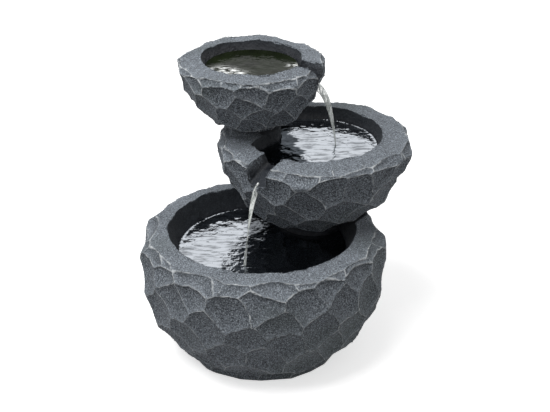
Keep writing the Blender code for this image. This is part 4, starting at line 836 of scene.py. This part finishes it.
def mask(tree, name):
    """One of the piece's own attributes."""
    reader = tree.nodes.new("ShaderNodeAttribute")
    reader.attribute_name = name
    return reader.outputs["Fac"]


def relief(tree, shader, height, strength, distance):
    """Give a shader's skin a fine relief."""
    bump = tree.nodes.new("ShaderNodeBump")
    bump.inputs["Strength"].default_value = strength
    bump.inputs["Distance"].default_value = distance
    tree.links.new(height, bump.inputs["Height"])
    tree.links.new(bump.outputs["Normal"], shader.inputs["Normal"])


coords = tree.nodes.new("ShaderNodeTexCoord")
place = coords.outputs["Object"]
upward = tree.nodes.new("ShaderNodeSeparateXYZ")
tree.links.new(coords.outputs["Normal"], upward.inputs["Vector"])
fine_grit = noise(tree, place, 470.0, 2.0, 0.7)
coarse_grit = noise(tree, place, 330.0, 3.0, 0.7)
clouds = noise(tree, place, 14.0, 4.0, 0.6)
patches = noise(tree, place, 5.0, 2.0, 0.5)
dark_grit = mix(tree, ramp(tree, coarse_grit, 0.43, 0.55), DARK_GRIT_AND_PAINTED_SHADE, GRIT_MIDDLE)
grit = mix(tree, ramp(tree, fine_grit, 0.53, 0.62, 0.0, 0.95), dark_grit, PALE_GRIT_AND_PAINTED_LIGHT)
# Painted light: faces that turn up are mixed towards the pale grit tone, as if lit from above, in
# cloudy patches.
painted_top_light = ramp(tree, upward.outputs["Z"], -0.35, 0.95, 0.0, 0.27)
clouded_top_light = maths(tree, "MULTIPLY", painted_top_light, ramp(tree, clouds, 0.3, 0.7, 0.55, 1.15))
stone = mix(tree, clouded_top_light, grit, PALE_GRIT_AND_PAINTED_LIGHT)
mossy = mix(tree, ramp(tree, patches, 0.52, 0.72, 0.0, 0.45), stone, MOSS_TINT)
broken = ramp(tree, noise(tree, place, 95.0, 3.0, 0.7), 0.38, 0.58, 0.10, 1.0)
rubbed = ramp(tree, noise(tree, place, 19.0, 2.0, 0.6), 0.36, 0.56, 0.35, 1.0)
arris = maths(tree, "MULTIPLY", ramp(tree, mask(tree, "arris"), 0.0045, 0.0056), broken)
arris = maths(tree, "MULTIPLY", arris, rubbed)
# Painted shade on the upper part of each flat, under its arris, and painted light on the lower part,
# over the next arris.
brow_painted_shade = mix(tree, ramp(tree, mask(tree, "painted_brow_shading"), 0.05, 0.9, 0.0, 0.62), mossy, DARK_GRIT_AND_PAINTED_SHADE)
brow_painted_light_mask = ramp(tree, mask(tree, "painted_brow_shading"), -0.9, -0.05, 0.22, 0.0)
brow_painted_light = mix(tree, brow_painted_light_mask, brow_painted_shade, PALE_GRIT_AND_PAINTED_LIGHT)
brushed = mix(tree, arris, brow_painted_light, ARRIS_PALE)
# Painted shade: the basins, where "worked" is 0, go dark, and so does the whole pump housing, which
# has no "worked" mask.
inner = maths(tree, "SUBTRACT", 1.0, mask(tree, "worked"))
basin_painted_shade = mix(tree, maths(tree, "MULTIPLY", inner, 0.93), brushed, DARK_GRIT_AND_PAINTED_SHADE)
soaked = mix(tree, maths(tree, "MULTIPLY", mask(tree, "wet"), 0.85), basin_painted_shade, WET_TINT)
tree.links.new(soaked, shader.inputs["Base Color"])
tree.links.new(ramp(tree, mask(tree, "wet"), 0.0, 1.0, 0.9, 0.32), shader.inputs["Roughness"])
height = maths(tree, "ADD", maths(tree, "MULTIPLY", coarse_grit, 0.7), fine_grit)
relief(tree, shader, height, strength=0.8, distance=0.0014)
for stone_piece in (lower_stone, pump_hood, middle_stone, top_stone):
    stone_piece.data.materials.append(stone_resin)

# Water in the three basins: each a closed body from the basin's floor to its level, ringed where a
# stream falls in and rising a little at the wall. The mask "shade" says where a dark reflection, as
# of dark garden, is painted in place of the white sky's, and "glint" where painted white glints lie
# in streaks on it.
RIPPLES = bpy.data.textures.new("ripples", "CLOUDS")
RIPPLES.noise_scale = 0.016
RIPPLES.noise_depth = 2
WATER_CELLS = 150
RING_PITCH = 0.0125
MENISCUS_RISE = 0.0012
MENISCUS_REACH = 0.0022
WATER_GLOSS_TINT = (0.88, 0.93, 1.0, 1.0)
# white of the streams' foam, and of the painted glints on the water
FOAM_AND_GLINT_WHITE = (0.96, 0.98, 0.97, 1.0)
WATER_BODY = (0.008, 0.010, 0.012, 1.0)
TOP_WATER_BODY = (0.011, 0.016, 0.006, 1.0)


def water(name, bowl, keep, rough, centre, rings):
    """A basin's water: a block with a finely divided top, rippled, then held to the basin's shape.

    keep is what stands in the water, centre the place where a stream falls in, rough the height of
    the ripples, and rings that of the rings round the stream.
    """
    put_down()
    reach = bowl["water_radius"] + 0.012
    bpy.ops.mesh.primitive_grid_add(
        x_subdivisions=WATER_CELLS, y_subdivisions=WATER_CELLS, size=2.0 * reach,
        location=(bowl["axis"].x, bowl["axis"].y, bowl["level"]))
    body = bpy.context.object
    body.name = name
    bpy.ops.object.transform_apply()
    bpy.ops.object.mode_set(mode="EDIT")
    bpy.ops.mesh.select_all(action="SELECT")
    bpy.ops.mesh.region_to_loop()
    bpy.ops.mesh.extrude_region_move(
        TRANSFORM_OT_translate={"value": (0.0, 0.0, bowl["floor_z"] - 0.01 - bowl["level"])})
    bpy.ops.mesh.edge_face_add()
    close_up()
    coords = skin_of(body)
    top = coords[:, 2] > bowl["level"] - 0.001
    from_axis = np.hypot(coords[:, 0] - bowl["axis"].x, coords[:, 1] - bowl["axis"].y)
    from_stream = np.hypot(coords[:, 0] - centre[0], coords[:, 1] - centre[1])
    add_group(body, "ripples", top * (0.60 + 0.40 * np.exp(-from_stream / 0.05)))
    from_wall = held(bowl["water_radius"] - from_axis)
    add_group(body, "meniscus", top * np.exp(-from_wall / MENISCUS_REACH))
    displaced(body, RIPPLES, rough, "ripples")
    displaced(body, None, MENISCUS_RISE, "meniscus", 0.0)
    swell = rings * np.cos(from_stream * 2.0 * pi / RING_PITCH) * np.exp(-from_stream / 0.035)
    for vert, rise, on_top in zip(body.data.vertices, swell, top):
        if on_top:
            vert.co.z += float(rise)
    form = thrown("basin_form", bowl["axis"], basin_outline(bowl, GAP, bowl["level"] + 0.006))
    combine(form, keep)
    combine(body, form, "INTERSECT")
    return body


def water_finish(name, colour, ior, shine, dulled):
    """Dark water with a mirror skin, duller in streaks, painted with a dark reflection where its
    shade mask says, and painted with white glints in streaks where its glint mask says."""
    finish, tree, shader = new_finish(name)
    shader.inputs["IOR"].default_value = ior
    coords = tree.nodes.new("ShaderNodeTexCoord").outputs["Object"]
    murk = noise(tree, coords, 22.0, 3.0, 0.6)
    deep = tuple(channel * 0.4 for channel in colour[:3]) + (1.0,)
    body = mix(tree, ramp(tree, murk, 0.35, 0.65), deep, colour)
    drawn = tree.nodes.new("ShaderNodeMapping")
    drawn.inputs["Scale"].default_value = (1.0, 3.6, 1.0)
    tree.links.new(coords, drawn.inputs["Vector"])
    streaks = ramp(tree, noise(tree, drawn.outputs["Vector"], 75.0, 3.0, 0.6), 0.49, 0.56)
    # Painted glints: the glint mask mixes the water's colour towards white in streaks.
    glint = maths(tree, "MULTIPLY", mask(tree, "glint"), streaks)
    tree.links.new(mix(tree, glint, body, FOAM_AND_GLINT_WHITE), shader.inputs["Base Color"])
    shader.inputs["Specular IOR Level"].default_value = shine
    swirl = noise(tree, drawn.outputs["Vector"], 34.0, 4.0, 0.62)
    streaked = ramp(tree, swirl, 0.47, 0.62, 0.0, dulled)
    # Painted dark reflection: where the shade mask is 1 the skin turns metal with the water's
    # near-black colour.
    tree.links.new(maths(tree, "MAXIMUM", streaked, mask(tree, "shade")), shader.inputs["Metallic"])
    shader.inputs["Specular Tint"].default_value = WATER_GLOSS_TINT
    tree.links.new(ramp(tree, murk, 0.3, 0.7, 0.02, 0.06), shader.inputs["Roughness"])
    relief(tree, shader, noise(tree, coords, 120.0, 2.0, 0.5), strength=0.5, distance=0.001)
    return finish


water_mirror = water_finish("water_mirror", WATER_BODY, ior=12.0, shine=0.5, dulled=0.62)
water_olive = water_finish("water_olive", TOP_WATER_BODY, ior=1.33, shine=0.10, dulled=0.0)
lower_keep = housing_form("keep_housing", GAP, 0.30)
lower_water = water(
    "lower_water", LOWER, lower_keep, rough=0.0022, centre=(-0.028, -0.070), rings=0.0001)
# Painted dark reflection over the lower water right of the stream, as of the middle bowl above it.
coords = skin_of(lower_water)
ragged = 0.004 * np.sin(coords[:, 1] * 330.0) + 0.003 * np.sin(coords[:, 1] * 710.0 + 1.0)
add_mask(lower_water, "shade", np.clip((coords[:, 0] + 0.028 + ragged) / 0.004, 0.0, 0.72))
lower_water.data.materials.append(water_mirror)
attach(lower_water, "root")
middle_keep = shoulder_form(MIDDLE, GAP)
middle_water = water(
    "middle_water", MIDDLE, middle_keep, rough=0.0020, centre=(0.122, 0.085), rings=0.0002)
# Painted dark reflection over the middle water's left side, as of the top bowl above it.
coords = skin_of(middle_water)
ragged = 0.006 * np.sin(coords[:, 1] * 130.0) + 0.003 * np.sin(coords[:, 1] * 510.0 + 1.0)
dark_edge = 0.079 - 0.20 * coords[:, 1] + ragged
add_mask(middle_water, "shade", np.clip((dark_edge - coords[:, 0]) / 0.004, 0.0, 0.985))
middle_water.data.materials.append(water_mirror)
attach(middle_water, "middle")
outlet_keep = upright("keep_outlet", TOP["axis"], 0.0145, 0.40, 0.4420)
top_water = water("top_water", TOP, outlet_keep, rough=0.0012, centre=TOP["axis"].xy, rings=0.0)
# Painted glints at three spots on the top water.
coords = skin_of(top_water)
glints = np.zeros(len(coords))
for x, y, reach in ((-0.068, 0.098, 0.016), (-0.046, 0.084, 0.016), (0.050, 0.122, 0.008)):
    glints += np.exp(-((coords[:, 0] - x) ** 2 + (coords[:, 1] - y) ** 2) / reach ** 2)
add_mask(top_water, "glint", held(glints * 1.6))
top_water.data.materials.append(water_olive)
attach(top_water, "top")

# Streams: two thin falls that leave the spouts, twist and draw together on their way down. The
# water is full of fine air, white in strands and clear between them. Each fall moves with the
# bowl that it pours from. A point gives its place, share of the width, and twist.
UPPER_FALL = (
    (0.0700, 0.0890, 0.4420, 1.00, 0.0), (0.0835, 0.0840, 0.4352, 1.00, 0.0),
    (0.0945, 0.0812, 0.4288, 0.95, 0.1), (0.1040, 0.0805, 0.4140, 0.80, 0.3),
    (0.1110, 0.0812, 0.3930, 0.62, 0.6), (0.1170, 0.0828, 0.3650, 0.38, 0.9),
    (0.1210, 0.0845, 0.3400, 0.26, 1.2), (0.1228, 0.0850, 0.3240, 0.24, 1.5))
LOWER_FALL = (
    (-0.0045, -0.0325, 0.3082, 1.00, 0.0), (-0.0064, -0.0350, 0.3068, 1.00, 0.0),
    (-0.0084, -0.0378, 0.3035, 0.95, 0.2), (-0.0135, -0.0450, 0.2900, 0.72, 0.8),
    (-0.0180, -0.0520, 0.2680, 0.55, 1.6), (-0.0220, -0.0590, 0.2400, 0.45, 2.4),
    (-0.0255, -0.0640, 0.2080, 0.38, 3.2), (-0.0280, -0.0680, 0.1790, 0.40, 3.9))
STREAM_SHADE = (0.70, 0.75, 0.71, 1.0)
BEADS = bpy.data.textures.new("beads", "CLOUDS")
BEADS.noise_scale = 0.008
BEADS.noise_depth = 1
BEAD_RISE = 0.0007


def falling_water(name, path, half_width, thickness):
    """A ribbon of water along a fall's points."""
    line = bpy.data.curves.new(name, "CURVE")
    line.dimensions = "3D"
    line.extrude = half_width
    line.bevel_depth = thickness / 2.0
    line.bevel_resolution = 2
    line.use_fill_caps = True
    line.resolution_u = 10
    line.twist_mode = "Z_UP"
    run = line.splines.new("NURBS")
    run.points.add(len(path) - 1)
    run.use_endpoint_u = True
    run.order_u = 4
    for index, (x, y, z, share, twist) in enumerate(path):
        run.points[index].co = (x, y, z, 1.0)
        run.points[index].radius = share
        run.points[index].tilt = twist
    stream = bpy.data.objects.new(name, line)
    scene.collection.objects.link(stream)
    pick_up(stream)
    bpy.ops.object.convert(target="MESH")
    stream = bpy.context.object
    bpy.ops.object.mode_set(mode="EDIT")
    bpy.ops.mesh.select_all(action="SELECT")
    bpy.ops.mesh.remove_doubles(threshold=0.00001)
    close_up()
    touched_up(stream, "SUBSURF", "smooth", levels=2, render_levels=2)
    add_group(stream, "all", np.ones(len(stream.data.vertices)))
    displaced(stream, BEADS, BEAD_RISE, "all")
    bpy.ops.object.shade_smooth()
    return stream


clear_water, tree, shader = new_finish("clear_water")
shader.inputs["IOR"].default_value = 1.33
shader.inputs["Transmission Weight"].default_value = 0.12
coords = tree.nodes.new("ShaderNodeTexCoord").outputs["Object"]
strands = tree.nodes.new("ShaderNodeMapping")
strands.inputs["Scale"].default_value = (1.0, 1.0, 0.16)
tree.links.new(coords, strands.inputs["Vector"])
foam = noise(tree, strands.outputs["Vector"], 330.0, 3.0, 0.6)
tree.links.new(ramp(tree, foam, 0.40, 0.56, 0.22, 1.0), shader.inputs["Alpha"])
tree.links.new(
    mix(tree, ramp(tree, foam, 0.4, 0.62), STREAM_SHADE, FOAM_AND_GLINT_WHITE),
    shader.inputs["Base Color"])
tree.links.new(ramp(tree, foam, 0.45, 0.7, 0.02, 0.12), shader.inputs["Roughness"])
upper_stream = falling_water("upper_stream", UPPER_FALL, half_width=0.0058, thickness=0.0036)
upper_stream.data.materials.append(clear_water)
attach(upper_stream, "top")
lower_stream = falling_water("lower_stream", LOWER_FALL, half_width=0.0037, thickness=0.0034)
lower_stream.data.materials.append(clear_water)
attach(lower_stream, "middle")

# Fittings and pump: the CAD's own pieces, each finished after what it is made of. A shared grain
# gives the moulded, drawn and cast skins their small unevenness. A finish is given by its darkest
# and lightest tone, its roughness, the grain's fineness and relief, and whether it is metal.
grain = bpy.data.node_groups.new("moulded_grain", "ShaderNodeTree")
grain.interface.new_socket("Place", in_out="INPUT", socket_type="NodeSocketVector")
grain.interface.new_socket("Fineness", in_out="INPUT", socket_type="NodeSocketFloat")
grain.interface.new_socket("Shade", in_out="OUTPUT", socket_type="NodeSocketFloat")
grain.interface.new_socket("Height", in_out="OUTPUT", socket_type="NodeSocketFloat")
grain_in = grain.nodes.new("NodeGroupInput")
grain_out = grain.nodes.new("NodeGroupOutput")
fine = grain.nodes.new("ShaderNodeTexNoise")
fine.inputs["Detail"].default_value = 3.0
grain.links.new(grain_in.outputs["Place"], fine.inputs["Vector"])
grain.links.new(grain_in.outputs["Fineness"], fine.inputs["Scale"])
broad = noise(grain, grain_in.outputs["Place"], 45.0, 3.0, 0.6)
shade = maths(grain, "MULTIPLY", ramp(grain, broad, 0.3, 0.7), fine.outputs["Fac"])
grain.links.new(shade, grain_out.inputs["Shade"])
grain.links.new(fine.outputs["Fac"], grain_out.inputs["Height"])


def fitting_finish(name, dark, light, rough, fineness, strength, metal=0.0):
    """A finish for the CAD's pieces: two tones and two roughnesses spread by the shared grain."""
    finish, tree, shader = new_finish(name)
    shader.inputs["Metallic"].default_value = metal
    skin = tree.nodes.new("ShaderNodeGroup")
    skin.node_tree = grain
    skin.inputs["Fineness"].default_value = fineness
    tree.links.new(tree.nodes.new("ShaderNodeTexCoord").outputs["Object"], skin.inputs["Place"])
    tone = mix(tree, ramp(tree, skin.outputs["Shade"], 0.1, 0.6), dark, light)
    tree.links.new(tone, shader.inputs["Base Color"])
    worn = ramp(tree, skin.outputs["Shade"], 0.1, 0.6, rough, rough + 0.14)
    tree.links.new(worn, shader.inputs["Roughness"])
    relief(tree, shader, skin.outputs["Height"], strength, distance=0.0004)
    return finish


def grey(level, cool=1.0):
    """A grey, a little cooler or warmer."""
    return (level, level * (1.0 + cool) / 2.0, level * cool, 1.0)


FITTINGS = (
    (fitting_finish("black_plate", grey(0.016), grey(0.030), 0.50, 900.0, 0.30), ("plate",)),
    (fitting_finish("stainless_steel", grey(0.52, 1.03), grey(0.68, 1.03), 0.22, 1400.0, 0.10, 1.0),
     ("screw", "clip")),
    (fitting_finish("pump_plastic", grey(0.014), grey(0.026), 0.34, 1100.0, 0.18),
     ("grille", "pump_body", "cover")),
    (fitting_finish("fitting_plastic", grey(0.040, 1.08), grey(0.065, 1.08), 0.40, 1000.0, 0.20),
     ("dial", "fitting", "nut", "inlet")),
    (fitting_finish("rotor_plastic", grey(0.22, 1.12), grey(0.30, 1.12), 0.30, 1200.0, 0.12),
     ("impeller",)),
    (fitting_finish("filter_foam", grey(0.012), grey(0.10, 1.05), 0.80, 620.0, 1.0), ("foam",)),
    (fitting_finish("white_ceramic", grey(0.72, 0.97), grey(0.82, 0.97), 0.12, 1600.0, 0.05),
     ("shaft",)),
    (fitting_finish("clear_hose", grey(0.40, 0.97), grey(0.58, 0.97), 0.16, 700.0, 0.08), ("hose",)),
    (fitting_finish("black_rubber", grey(0.012), grey(0.022), 0.66, 800.0, 0.35),
     ("seal", "cup", "gland", "washer")))
for finish, words in FITTINGS:
    for name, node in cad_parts.items():
        if any(word in name for word in words):
            node.material_slots[0].material = finish
